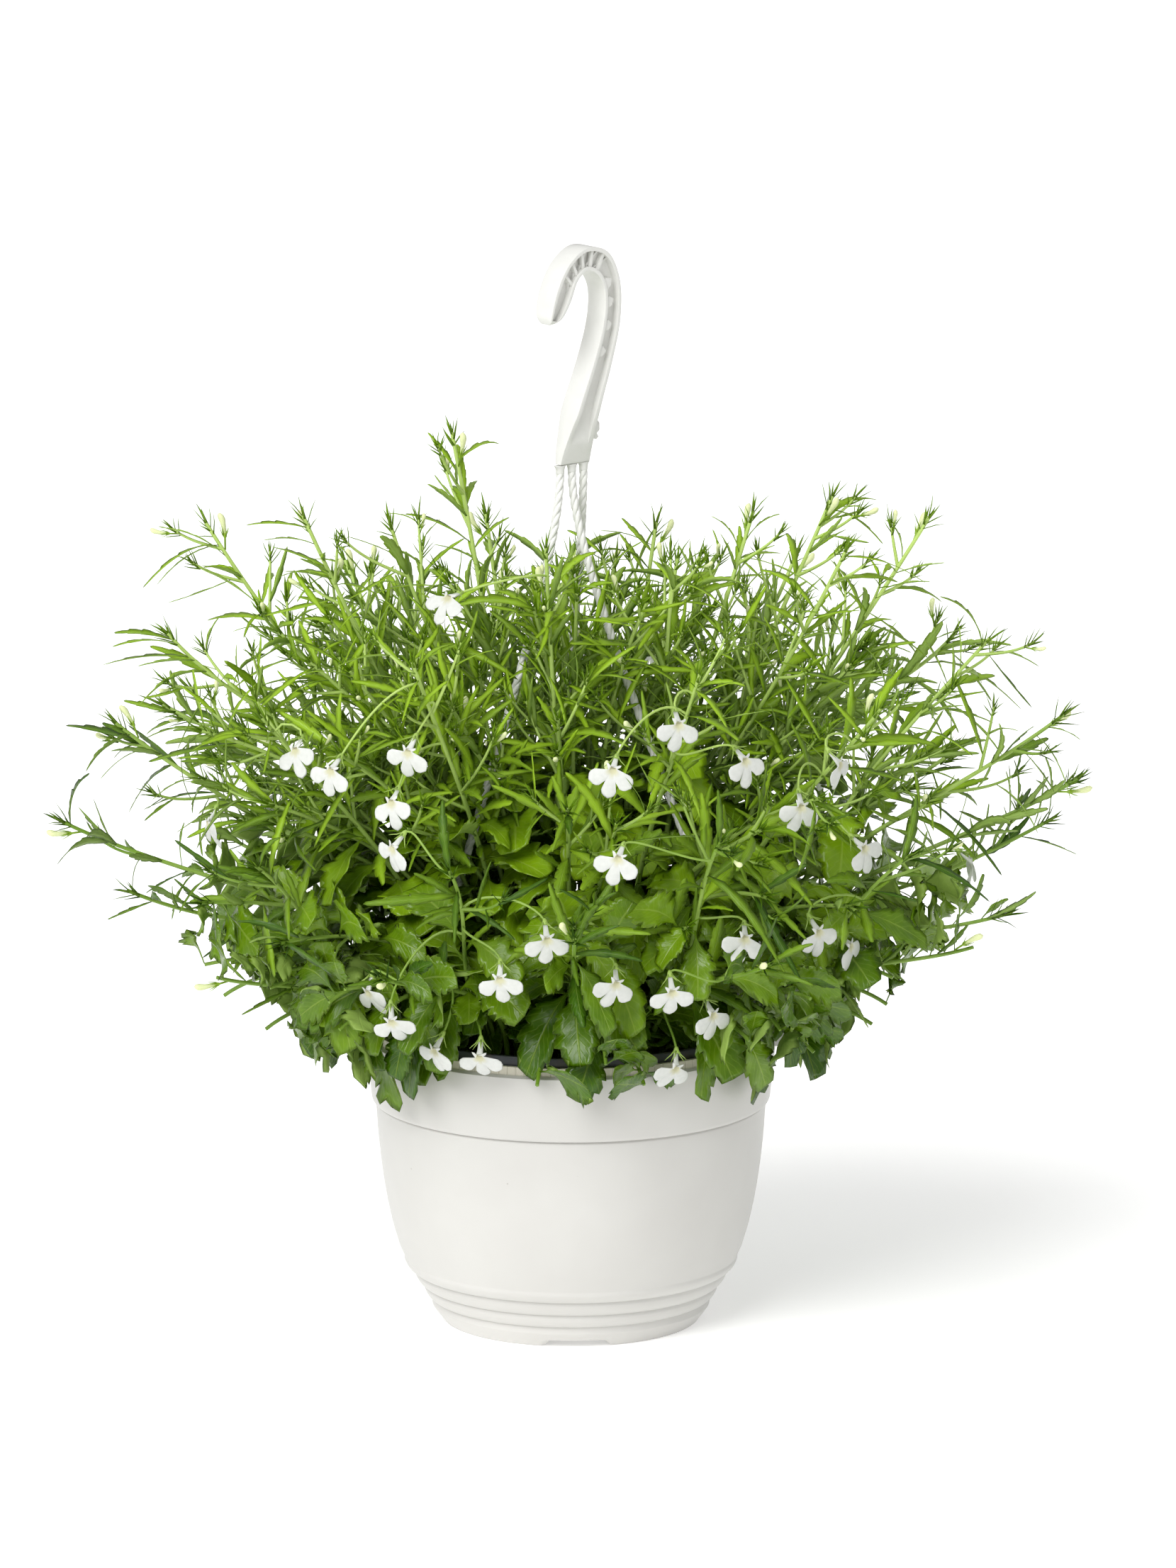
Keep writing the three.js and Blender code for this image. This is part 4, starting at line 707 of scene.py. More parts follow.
# A main shoot's course: the ring its foot stands in, how it rises and bends over, and how much is drawn.
COURSE = {"nearest": 12, "further": 0.31, "furthest": 70, "sunk": 4, "rise": 20, "rises_by": 0.35,
          "bend": 0.36, "sway": 0.12, "low": -4, "high": 8, "tries": 16, "clear_from": 0.03,
          "level_from": 0.04}
SIDE_COURSE = {"along": 0.24, "out": 0.16, "bend": 0.35}
# A shoot's heading at its tip: the higher the tip stands, the more steeply it points up.
TIP_COURSE = {"out": 220, "low": 150, "steeper": 200, "least": 0.1, "most": 1.4}
LEVEL_TRIES = (0, 1, -1)
NEAR_OWN = 0.45
BALL_STEP = 5
CURVE_SLACK = 1.15
CELL = 14
POT_ZONE = {"inside": 88, "outside": 103, "top": 154, "soil": 141}
UP = np.array((0.0, 0.0, 1.0))
SEED = 20261

drawn = SEED


def draw(low=0.0, high=1.0):
    """The next of the plant's draws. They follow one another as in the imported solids, so both agree."""
    global drawn
    drawn = (drawn * 1664525 + 1013904223) % 4294967296
    return low + (high - low) * drawn / 4294967296


def cross(a, b):
    return np.array((a[1] * b[2] - a[2] * b[1], a[2] * b[0] - a[0] * b[2], a[0] * b[1] - a[1] * b[0]))


def unit(vector):
    return vector / math.sqrt(vector @ vector)


def heading(curve, t):
    s = 1 - t
    return unit(s * s * (curve[1] - curve[0]) + 2 * s * t * (curve[2] - curve[1])
                + t * t * (curve[3] - curve[2]))


# Balls of space that the pieces take up, kept in a grid, so that they stay apart.
taken = {}


def ball(point, radius):
    return float(point[0]), float(point[1]), float(point[2]), radius


def take(balls, owner):
    for x, y, z, radius in balls:
        taken.setdefault((x // CELL, y // CELL, z // CELL), []).append((x, y, z, radius, owner))


def give_back(owner):
    for cell, balls in taken.items():
        taken[cell] = [one for one in balls if one[4] != owner]


def meets_pot(x, y, z, radius):
    out = math.hypot(x, y)
    if z - radius > POT_ZONE["top"]:
        return False
    if out + radius < POT_ZONE["inside"]:
        return z - radius < POT_ZONE["soil"]
    return out - radius < POT_ZONE["outside"]


def is_free(balls, owners=()):
    for x, y, z, radius in balls:
        if meets_pot(x, y, z, radius):
            return False
        i, j, k = x // CELL, y // CELL, z // CELL
        for cell in product((i - 1, i, i + 1), (j - 1, j, j + 1), (k - 1, k, k + 1)):
            for other_x, other_y, other_z, other, owner in taken.get(cell, ()):
                reach = radius + other
                if (x - other_x) ** 2 + (y - other_y) ** 2 + (z - other_z) ** 2 < reach * reach \
                        and owner not in owners:
                    return False
    return True


def grows_free(balls, stem):
    """Whether something that grows from a stem keeps clear: near its root it may lie by its own stem."""
    near = math.ceil(len(balls) * NEAR_OWN)
    return is_free(balls[:near], (stem,)) and is_free(balls[near:])


def curve_balls(curve, thick, start=0.0):
    count = math.ceil(math.dist(curve[0], curve[3]) * CURVE_SLACK / BALL_STEP)
    radius = math.hypot(BALL_STEP / 2, thick) + GAP
    return [ball(curve_point(curve, start + (1 - start) * i / count), radius) for i in range(count + 1)]


def tip_heading(tip):
    steep = (tip[2] - TIP_COURSE["low"]) / TIP_COURSE["steeper"] + TIP_COURSE["least"]
    lift = min(max(steep, TIP_COURSE["least"]), TIP_COURSE["most"])
    return unit(np.array((tip[0] / TIP_COURSE["out"], tip[1] / TIP_COURSE["out"], lift)))


def arching(tip, angle, ahead, course, lift=0.0):
    """A shoot's curve from a ring in the compost up and over to its tip, where it heads `ahead`."""
    reach = math.hypot(tip[0], tip[1])
    radius = min(course["furthest"], course["nearest"] + course["further"] * reach)
    foot = np.array((radius * math.cos(angle), radius * math.sin(angle), SOIL_TOP + course["sunk"]))
    rise = foot + UP * (course["rises_by"] * (tip[2] - foot[2]) + course["rise"] + lift)
    bend = tip - ahead * course["bend"] * math.dist(foot, tip)
    return np.array((foot, rise, bend, tip))


def side_curve(facet, tip):
    chord = math.dist(facet["middle"], tip)
    leave = facet["middle"] + facet["along"] * SIDE_COURSE["along"] * chord \
        + facet["out"] * SIDE_COURSE["out"] * chord
    bend = tip - tip_heading(tip) * SIDE_COURSE["bend"] * chord
    return np.array((facet["middle"], leave, bend, tip))


def frame_at(curve, t):
    """A shoot's own axes at `t`: along it, level across it, and square to both."""
    along = heading(curve, t)
    level = unit(cross(heading(curve, max(t, COURSE["level_from"])), UP))
    return along, level, unit(cross(along, level))


def steps_of(shoot):
    return SHOOT["steps"] if shoot["main"] else SHOOT["side_steps"]


def shoot_ring(shoot, step):
    """Three points round a shoot; a side shoot's first three lie on the facet that it grows from."""
    if step == 0 and "root" in shoot:
        return shoot["root"]
    t = step / steps_of(shoot)
    _, level, raised = frame_at(shoot["curve"], t)
    thick = SHOOT["foot"] if shoot["main"] else SHOOT["side"]
    radius = thick + (SHOOT["tip"] - thick) * t
    angles = [shoot["spin"] + k * 2 * math.pi / SIDES for k in range(SIDES)]
    centre = curve_point(shoot["curve"], t)
    return [centre + level * radius * math.cos(angle) + raised * radius * math.sin(angle) for angle in angles]


def facet_of(shoot, level, side):
    """One of the facets between a shoot's rings, where a leaf, a flower's stalk or a side shoot may start."""
    if (level, side) in shoot["facets"]:
        return shoot["facets"][level, side]
    step, high = divmod(level, 2)
    below, above = shoot_ring(shoot, step), shoot_ring(shoot, step + 1)
    after = (side + 1) % SIDES
    a, b = below[side], above[after] if high else below[after]
    c = above[side] if high else above[after]
    middle = (a + b + c) / 3
    wide = b - c if high else b - a
    half = math.sqrt(wide @ wide) * ROOT["across"]
    out = unit(cross(b - a, c - a))
    across = unit(wide)
    along = cross(out, across)
    corners = ((-1, -1), (1, -1), (0, 1)) if high else ((-1, 1), (0, -1), (1, 1))
    facet = {"shoot": shoot, "level": level, "side": side, "middle": middle, "across": across,
             "along": along, "out": out,
             "root": [middle + across * x * half + along * y * ROOT["along"] for x, y in corners]}
    shoot["facets"][level, side] = facet
    return facet


def unused(shoot, level, side):
    return 0 <= level < 2 * steps_of(shoot) and (level, side) not in shoot["used"]


def facet_towards(shoot, level, aim):
    """The unused facet at a level that looks most nearly towards `aim`."""
    free = [facet_of(shoot, level, side) for side in range(SIDES) if unused(shoot, level, side)]
    return max(free, key=lambda facet: (aim - facet["middle"]) @ facet["out"], default=None)


def spin_after(before, level, raised):
    first = before[0] - sum(before) / len(before)
    return math.atan2(first @ raised, first @ level)


shoots = []


def plan_stem(tips, stem):
    tips = [np.array(tip, float) for tip in tips]
    main = {"stem": stem, "main": True, "spin": draw(0, 2 * math.pi), "used": set(), "facets": {}}
    azimuth = math.atan2(tips[0][1], tips[0][0])
    for attempt in range(COURSE["tries"]):
        sway = draw(-COURSE["sway"], COURSE["sway"]) * (1 + attempt / 3)
        lift = draw(COURSE["low"], COURSE["high"])
        main["curve"] = arching(tips[0], azimuth + sway, tip_heading(tips[0]), COURSE, lift)
        if is_free(curve_balls(main["curve"], SHOOT["foot"], COURSE["clear_from"])):
            break
    take(curve_balls(main["curve"], SHOOT["foot"]), stem)
    shoots.append(main)
    if len(tips) == 1:
        return
    start = math.floor(SHOOT["fork"] * 2 * SHOOT["steps"])
    facets = [facet_towards(main, start + shift, tips[1]) for shift in LEVEL_TRIES]
    facet = next((choice for choice in facets
                  if grows_free(curve_balls(side_curve(choice, tips[1]), SHOOT["side"]), stem)), facets[0])
    side = {"stem": stem, "main": False, "used": set(), "facets": {}, "root": facet["root"],
            "curve": side_curve(facet, tips[1])}
    side["spin"] = spin_after(facet["root"], *frame_at(side["curve"], 1 / SHOOT["side_steps"])[1:])
    take(curve_balls(side["curve"], SHOOT["side"]), stem)
    main["used"].add((facet["level"], facet["side"]))
    shoots.append(side)


for side, root, azimuth in LEGS:
    take(curve_balls(leg_curve(root, azimuth), LEG_RADIUS), f"strand_{side}")
for stem, tips in enumerate(STEMS):
    plan_stem(tips, stem)

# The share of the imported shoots' three-sided radius that gives a round stem of the same stoutness.
ROUND = 0.88
LINE_STEP = 4
LINE_SLACK = 1.1
# A shoot's foot goes this far down into the compost.
PLANTED = 14
# How far the plant reaches across and from front to back, the height up to which it is in shade, and how far
# above that it is in full light.
PLANT = {"x": 250, "y": 190, "low": 165, "rise": 190}
# The tone's least value, how fast it lightens with height (partly age, partly painted light), and the painted
# shade of the outer tips: how far out it starts and how fast it darkens.
TONE = {"least": 0.1, "gain": 0.95, "painted_shade_past": 0.72, "painted_shade_by": 2.4}


def outwards_at(point):
    """How far out in the plant a place is: 0 in the middle, 1 at its edge."""
    return math.hypot(point[0] / PLANT["x"], point[1] / PLANT["y"])


def upwards_at(point):
    return (point[2] - PLANT["low"]) / PLANT["rise"]


def painted_light_and_age_at(point):
    """How light the green is at a place, partly by the growth's age and partly as painted light and shade: 0
    deep in the plant, 1 at its top, and painted shade in the outer tips.
    """
    painted_shade = TONE["painted_shade_by"] * max(0, outwards_at(point) - TONE["painted_shade_past"])
    return min(max(TONE["least"] + TONE["gain"] * upwards_at(point) - painted_shade, 0), 1)


def line_of(curve, foot, tip, until=1):
    """A curve as points, radii and tones, to sweep."""
    count = max(4, math.ceil(math.dist(curve[0], curve[3]) * LINE_SLACK / LINE_STEP))
    shares = [until * i / count for i in range(count + 1)]
    points = [curve_point(curve, t) for t in shares]
    return points, [foot + (tip - foot) * t for t in shares], [painted_light_and_age_at(point) for point in points]


def line_object(name, lines):
    """Lines with a radius and a tone at each point, for the tube tree to sweep."""
    corners, edges, radii, tones = [], [], [], []
    for points, thick, tone in lines:
        start = len(corners)
        corners += points
        edges += [(start + i, start + i + 1) for i in range(len(points) - 1)]
        radii += [part * MM for part in thick]
        tones += tone
    return new_object(name, place(corners), edges=edges, values={"thick": radii, "tone": tones})


tree, given = new_tree("round stems", {"Sides": "Int", "Material": "Material"})
path = node(tree, "GeometryNodeMeshToCurve", {0: given["Geometry"]})
thick = node(tree, "GeometryNodeInputNamedAttribute", {"Name": "thick"}, data_type="FLOAT")
sized = node(tree, "GeometryNodeSetCurveRadius", {"Curve": path, "Radius": thick})
circle = node(tree, "GeometryNodeCurvePrimitiveCircle", {"Resolution": given["Sides"], "Radius": 1})
body = node(tree, "GeometryNodeCurveToMesh", {
    "Curve": sized, "Profile Curve": circle, "Fill Caps": True, "Scale": thick})
smooth = node(tree, "GeometryNodeSetShadeSmooth", {0: body})
tube_tree = coated(tree, smooth, given["Material"])

# A sappy green stem: a waxy, slightly glossy skin whose green is lighter and yellower high in the plant,
# partly for its younger growth and partly as painted light, and darker deep inside and at the outer tips as
# painted shade. A faintly uneven surface breaks up its shine.
stem_green, tree, spots = new_material("sappy stem")
tone = node(tree, "ShaderNodeAttribute", attribute_name="tone").outputs["Fac"]
patchy = node(tree, "ShaderNodeTexNoise", {"Vector": spots, "Scale": 1 / 0.006, "Detail": 3})
mottled = node(tree, "ShaderNodeMath", {0: patchy, 1: 0.35, 2: tone}, operation="MULTIPLY_ADD")
toned = node(tree, "ShaderNodeMapRange", {0: mottled, "From Min": 0.1, "From Max": 1.2})
green = node(tree, "ShaderNodeMix", {0: toned, 6: linear("#5f8412"), 7: linear("#b6d070")}, data_type="RGBA")
bump = node(tree, "ShaderNodeBump", {"Height": patchy, "Strength": 0.2, "Distance": 0.0003})
surfaced(tree, {"Base Color": green, "Roughness": 0.45, "IOR": 1.42, "Normal": bump})

shoot_lines = []
for shoot in shoots:
    foot = (SHOOT["foot"] if shoot["main"] else SHOOT["side"]) * ROUND
    points, radii, tones = line_of(shoot["curve"], foot, SHOOT["tip"] * ROUND)
    if shoot["main"]:
        points, radii, tones = [points[0] - UP * PLANTED, *points], [foot, *radii], [0, *tones]
    shoot_lines.append((points, radii, tones))
stems = line_object("leafy_shoots", shoot_lines)
grown(stems, tube_tree, {"Sides": 8, "Material": stem_green})
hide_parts(*[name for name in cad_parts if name.startswith("stem_")])
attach(stems, "root")

# ---------------------------------------------------------------- flowers
# Each flower is one white corolla on a thin stalk: a narrow tube that leans back and opens into three broad
# lower lobes and two slim upper ones. A green calyx with five slim sepals holds the end of the tube.

# Flowers, placed by the mouth of each.
BLOOMS = [
    (-3, -133, 353), (52, -139, 327), (20, -158, 308), (-12, -148, 331), (-78, -137, 313), (-86, -144, 290),
    (-86, -148, 268), (-133, -98, 308), (-116, -120, 300), (111, -127, 284), (84, -137, 309),
    (142, -101, 258), (116, -94, 337), (26, -166, 265), (-6, -162, 230), (22, -150, 202), (49, -142, 196),
    (68, -124, 180), (84, -135, 221), (86, -132, 202), (120, -108, 218), (136, -86, 206), (-98, -108, 188),
    (-80, -122, 191), (-66, -112, 160), (-44, -118, 158), (-34, -149, 204), (51, -116, 152),
    (130, -109, 301), (196, 0, 230), (-176, -46, 256), (-156, 0, 180), (-68, -92, 385), (-46, -110, 372),
    (64, -108, 369), (-90, 150, 280), (40, 170, 300), (130, 120, 250), (-150, 90, 240), (10, 165, 220),
]
BLOOM = {"tube": 8.5, "mouth": 1.7, "tube_lean": 0.72, "thick": 0.32}
# A flower faces out from the middle of the plant at `middle`, give or take what is drawn.
BLOOM_FACE = {"middle": 240, "tilt": 0.5, "aside": 0.35, "down": -0.3, "up": 0.15, "roll": 0.35, "tries": 14,
              "shift": 1.1}
# The room that a flower takes up, as (across, up, out, radius) in front and (back, radius) down its tube.
FACE_ROOM = [(0, -6.5, -0.6, 4.8), (-6, -3.4, -0.6, 4.8), (6, -3.4, -0.6, 4.8), (0, 0, -0.4, 3.4),
             (-2.4, 4, -0.8, 3.2), (2.4, 4, -0.8, 3.2)]
TUBE_ROOM = [(4, 2.9), (7.4, 2.2)]
STALK = {"thick": 0.55, "foot": 0.66, "calyx": 1.45, "least": 14, "most": 46, "arch": 9, "out": 0.4,
         "along": 0.2, "from": 2, "tries": 12}
# Where along a stalk its heading is looked at, and how much of it is kept from one place to the next.
STALK_AT = (0, 0.3, 0.6, 0.85, 1)
STALK_KEEPS = 0.35


def bloom_at(mouth):
    face = unit(np.array((mouth[0], mouth[1], (mouth[2] - BLOOM_FACE["middle"]) * BLOOM_FACE["tilt"])))
    face[0] += draw(-BLOOM_FACE["aside"], BLOOM_FACE["aside"])
    face[1] += draw(-BLOOM_FACE["aside"], BLOOM_FACE["aside"])
    face[2] += draw(BLOOM_FACE["down"], BLOOM_FACE["up"])
    face = unit(face)
    level = unit(cross(UP, face))
    roll = draw(-BLOOM_FACE["roll"], BLOOM_FACE["roll"])
    up = cross(face, level) * math.cos(roll) + level * math.sin(roll)
    back = up * BLOOM["tube_lean"] - face * math.sqrt(1 - BLOOM["tube_lean"] ** 2)
    return {"mouth": mouth, "face": face, "up": up, "side": cross(up, face), "back": back}


def bloom_balls(bloom):
    mouth, side, up, face = bloom["mouth"], bloom["side"], bloom["up"], bloom["face"]
    front = [ball(mouth + side * x + up * y + face * z, radius) for x, y, z, radius in FACE_ROOM]
    return front + [ball(mouth + bloom["back"] * reach, radius) for reach, radius in TUBE_ROOM]


def stalk_to(bloom, facet):
    end = bloom["mouth"] + bloom["back"] * (BLOOM["tube"] + GAP)
    arch = end + bloom["back"] * STALK["arch"]
    reach = math.dist(facet["middle"], arch)
    leave = facet["middle"] + facet["out"] * STALK["out"] * reach + facet["along"] * STALK["along"] * reach
    return np.array((facet["middle"], leave, arch, end))


def bends_gently(curve):
    headings = [heading(curve, t) for t in STALK_AT]
    return all(near @ far > STALK_KEEPS for near, far in zip(headings, headings[1:]))


def stalk_starts(end):
    """The facets that a flower's stalk could well start from, the nearest first."""
    starts = []
    for shoot in shoots:
        for level in range(STALK["from"], 2 * steps_of(shoot)):
            facet = facet_towards(shoot, level, end)
            if facet is None:
                continue
            gap = math.dist(facet["middle"], end)
            if STALK["least"] <= gap <= STALK["most"]:
                starts.append((gap + max(0, facet["middle"][2] - end[2]), facet))
    return [facet for _, facet in sorted(starts, key=lambda start: start[0])[:STALK["tries"]]]


blooms = []


def plan_bloom(spot, own):
    for attempt in range(BLOOM_FACE["tries"]):
        shift = attempt * BLOOM_FACE["shift"]
        mouth = np.array([part + draw(-1, 1) * shift for part in spot])
        bloom = bloom_at(mouth)
        if not is_free(bloom_balls(bloom)):
            continue
        take(bloom_balls(bloom), own)
        for facet in stalk_starts(mouth + bloom["back"] * (BLOOM["tube"] + STALK["arch"])):
            bloom["stalk"] = stalk_to(bloom, facet)
            balls = curve_balls(bloom["stalk"], STALK["calyx"])
            stem = facet["shoot"]["stem"]
            if not bends_gently(bloom["stalk"]) or not grows_free(balls[:-2], stem) \
                    or not is_free(balls[-2:], (own,)):
                continue
            take(balls, f"leaf of {stem}")
            facet["shoot"]["used"].add((facet["level"], facet["side"]))
            blooms.append(bloom)
            return
        give_back(own)


for i, spot in enumerate(BLOOMS):
    plan_bloom(spot, f"flower {i}")

# Each lobe: its middle in degrees from straight down, half its angle, its reach, how far out the gaps before
# and after it lie, and how far its tip bends back.
LOBES = [(-130, 13, 4.4, 1.5, 2.2, 3), (-58, 33, 12, 2.2, 6, 0.8), (0, 25, 13.2, 6, 6, 2.4),
         (58, 33, 12, 6, 2.2, 0.8), (130, 13, 4.4, 2.2, 1.5, 3)]
LOBE_STEPS = 10
# How blunt a lobe is, how deeply it is cupped, and its small point's length and width.
LOBE = {"blunt": 2.6, "cup": 0.9, "point": 0.5, "point_width": 0.14}
PETAL_RINGS = (0.18, 0.4, 0.62, 0.82, 0.94)
# How much flatter the tube is at its end, and its inside and outside as (along, radius), inside first.
TUBE_FLAT = 0.25
TUBE_INSIDE = [(2.2, 0.3), (1.8, 0.9), (0.9, 1.3), (0.25, 1.6)]
TUBE_OUTSIDE = [(0.9, 1.95), (3, 1.5), (5.5, 1.25), (8.5, 1.15), (8.8, 0.7)]


def corolla_mesh():
    """A corolla in metres: x to its side, y up, z out of its face. `throat` is 1 in the tube, 0 outside."""
    outline = []
    for (middle, half, reach, before, after, bend), i in product(LOBES, range(LOBE_STEPS)):
        share = -1 + 2 * i / LOBE_STEPS
        angle = math.radians(middle + half * share - 90)
        gap = before + (after - before) * (share + 1) / 2
        out = gap + (reach - gap) * math.sqrt(1 - abs(share) ** LOBE["blunt"])
        point = LOBE["point"] * math.exp(-(share / LOBE["point_width"]) ** 2)
        outline.append((angle, out + point, bend, share))

    def petal_ring(share_out, lift=0.0):
        ring = []
        for angle, out, bend, share in outline:
            reach = BLOOM["mouth"] + (out - BLOOM["mouth"]) * share_out
            far = (reach / 10) ** 2
            cup = LOBE["cup"] * far * (0.5 - share * share) - bend * far
            ring.append((reach * math.cos(angle), reach * math.sin(angle), cup + lift))
        return ring

    def tube_ring(along, radius, lift=0.0):
        drop = math.sqrt(1 - BLOOM["tube_lean"] ** 2)
        flat = 1 - TUBE_FLAT * along / BLOOM["tube"]
        return [(radius * math.cos(angle), radius * math.sin(angle) * flat + along * BLOOM["tube_lean"],
                 lift - along * drop) for angle, *_ in outline]

    thick = BLOOM["thick"]
    rings = [(tube_ring(*row), 1) for row in TUBE_INSIDE]
    rings += [(petal_ring(share), max(0, 0.8 - share * 2.2)) for share in PETAL_RINGS]
    rings += [(petal_ring(1, -thick / 2), 0)]
    rings += [(petal_ring(share, -thick), 0) for share in reversed(PETAL_RINGS)]
    rings += [(tube_ring(*row, -thick), -row[0] / BLOOM["tube"]) for row in TUBE_OUTSIDE]
    corners, faces = carried([ring[::-1] for ring, _ in rings])
    throats = np.repeat([throat for _, throat in rings], len(outline))
    return new_object("corolla", MM * np.array(corners), faces, values={"throat": throats}, shown=False)


# The calyx cup as (height, radius), and a sepal as (out, up, half width), from its foot to its tip.
CALYX_CUP = [(-2.6, 0.5), (-1.6, 1.1), (-0.2, 1.45), (0.8, 1.5), (0.9, 1.2)]
CALYX_SEPAL = [(1.2, -0.2, 0.5), (2.6, 1.8, 0.42), (4.2, 3.2, 0.3), (5.6, 4.6, 0.08)]
SEPALS = 5
CALYX_TURN = 0.3


def sepals(rows, thick, turn=0.0, aside=(0, 0, 0)):
    """Five slim sepals round a calyx; `thick` gives half a sepal's thickness from its heading outwards."""
    shapes = []
    for k in range(SEPALS):
        angle = k * 2 * math.pi / SEPALS + turn
        out = np.array((math.cos(angle), math.sin(angle), 0))
        over = cross(UP, out)
        rings = []
        for reach, rise, half in rows:
            centre = out * reach + UP * rise + np.array(aside)
            rings.append([centre - over * half, centre + thick(out) * half, centre + over * half,
                          centre - thick(out) * half])
        shapes.append(carried(rings))
    return shapes


def calyx_mesh():
    """A calyx in metres, its z along the tube: a ribbed cup and five slim, spreading sepals."""
    cup = [[(radius * math.cos(k * math.pi / 5), radius * math.sin(k * math.pi / 5), z) for k in range(10)]
           for z, radius in CALYX_CUP]
    slim = sepals(CALYX_SEPAL, lambda out: (UP - out) * 0.5, CALYX_TURN)
    corners, faces = together([carried(cup), *slim])
    return outwards(new_object("calyx", MM * np.array(corners), faces, shown=False))


def each(things, key):
    return np.array([thing[key] for thing in things])


# The form stands on each point with its z along the point's `facing` and its y towards `upper`.
tree, given = new_tree("heads on stalks", {"Head": "Object", "Material": "Material"})
read = {name: node(tree, "GeometryNodeInputNamedAttribute", {"Name": name}, data_type=kind)
        for name, kind in (("facing", "FLOAT_VECTOR"), ("upper", "FLOAT_VECTOR"), ("size", "FLOAT"))}
stand = node(tree, "FunctionNodeAxesToRotation", {0: read["facing"], 1: read["upper"]},
             primary_axis="Z", secondary_axis="Y")
form = node(tree, "GeometryNodeObjectInfo", {"Object": given["Head"]})
heads = node(tree, "GeometryNodeInstanceOnPoints", {
    "Points": given["Geometry"], "Instance": form.outputs["Geometry"], "Rotation": stand,
    "Scale": read["size"]})
real = node(tree, "GeometryNodeRealizeInstances", {0: heads})
head_tree = coated(tree, real, given["Material"])

# Petal: a thin matt white skin full of air, so light comes softly through it. The throat is stained a
# greyish yellow, and faint veins run out along the lobes.
petal_white, tree, spots = new_material("white petal")
throat = node(tree, "ShaderNodeAttribute", attribute_name="throat").outputs["Fac"]
veins = node(tree, "ShaderNodeTexNoise", {"Vector": spots, "Scale": 1 / 0.0022, "Detail": 3})
white = node(tree, "ShaderNodeMix", {0: veins, 6: linear("#dfe1dd"), 7: linear("#f4f5f2")}, data_type="RGBA")
stained = node(tree, "ShaderNodeMapRange", {0: throat, "From Min": 0.25, "From Max": 1})
petal_tint = node(tree, "ShaderNodeMix", {0: stained, 6: white, 7: linear("#dddbb8")}, data_type="RGBA")
bump = node(tree, "ShaderNodeBump", {"Height": veins, "Strength": 0.25, "Distance": 0.0003})
surfaced(tree, {"Base Color": petal_tint, "Roughness": 0.62, "IOR": 1.4, "Normal": bump}, 0.3)

corollas = new_object("corollas", place(each(blooms, "mouth")), values={
    "facing": each(blooms, "face"), "upper": each(blooms, "up"), "size": np.ones(len(blooms))})
grown(corollas, head_tree, {"Head": corolla_mesh(), "Material": petal_white})
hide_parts(*[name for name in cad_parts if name.startswith("bloom_")])
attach(corollas, "root")

stalks = line_object("flower_stalks", [line_of(bloom["stalk"], STALK["foot"], STALK["thick"])
                                       for bloom in blooms])
grown(stalks, tube_tree, {"Sides": 6, "Material": stem_green})
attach(stalks, "root")

calyces = new_object("calyces", place(each(blooms, "stalk")[:, 3]), values={
    "facing": -each(blooms, "back"), "upper": each(blooms, "side"), "size": np.ones(len(blooms)),
    "tone": [0.6] * len(blooms)})
grown(calyces, head_tree, {"Head": calyx_mesh(), "Material": stem_green})
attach(calyces, "root")

# ---------------------------------------------------------------- buds
# Buds stand out on short stalks below the shoots' tips: pale greenish cream clubs in a small green calyx.

BUD = {"at": 0.92, "spread": 0.6, "thick": 1.7, "room": (5, 10, 15)}


def bud_on(point, along, out):
    return {"root": point, "ahead": along * math.cos(BUD["spread"]) + out * math.sin(BUD["spread"]),
            "out": out, "size": 1.0}


def bud_balls(bud):
    radius = math.hypot(BALL_STEP / 2, BUD["thick"]) + GAP
    return [ball(bud["root"] + bud["ahead"] * reach, radius) for reach in BUD["room"]]


def grown_near(shoot, t, first_side, make, balls_of):
    """What `make` grows from the first unused facet near `t` where it has room, as a list of one or none."""
    middle = math.floor(t * 2 * steps_of(shoot))
    for shift, turn in product(LEVEL_TRIES, range(SIDES)):
        level, side = middle + shift, (first_side + turn) % SIDES
        if not unused(shoot, level, side):
            continue
        made = make(facet_of(shoot, level, side))
        balls = balls_of(made)
        if grows_free(balls, shoot["stem"]):
            take(balls, f"leaf of {shoot['stem']}")
            shoot["used"].add((level, side))
            return [made]
    return []


def bud_from(facet):
    return bud_on(facet["middle"], facet["along"], facet["out"])


buds = []
for shoot in shoots:
    if shoot["main"]:
        buds += grown_near(shoot, BUD["at"], 0, bud_from, bud_balls)

# A bud on its stalk as (height, radius, how far it bends over, how ripe it is), and its sepals.
BUD_CLUB = [(0, 0.45, 0, 0), (5.8, 0.5, 0.2, 0), (6.6, 1, 0.3, 0), (8, 1.15, 0.4, 0), (8.6, 0.95, 0.5, 0.5),
            (10.5, 1.05, 0.8, 0.9), (13, 1.35, 1.3, 1), (15.4, 1.75, 2, 1), (17, 1.5, 2.6, 1),
            (18, 0.5, 3, 1)]
BUD_SEPAL = [(0.9, 7, 0.4), (1.9, 9.4, 0.3), (2.6, 12, 0.06)]
BUD_SIDES = 8


def bud_mesh():
    """A bud on its stalk in metres, along its z: `ripe` is 0 on the green stalk and calyx, 1 on the club."""
    turns = [k * 2 * math.pi / BUD_SIDES for k in range(BUD_SIDES)]
    club = [[(radius * math.cos(turn), radius * math.sin(turn) + bend, z) for turn in turns]
            for z, radius, bend, _ in BUD_CLUB]
    corners, faces = together([carried(club), *sepals(BUD_SEPAL, lambda out: out * 0.6, aside=(0, 0.5, 0))])
    ripeness = np.zeros(len(corners))
    ripeness[:len(turns) * len(BUD_CLUB)] = np.repeat([ripe for *_, ripe in BUD_CLUB], len(turns))
    return outwards(new_object("bud", MM * np.array(corners), faces, values={"ripe": ripeness}, shown=False))


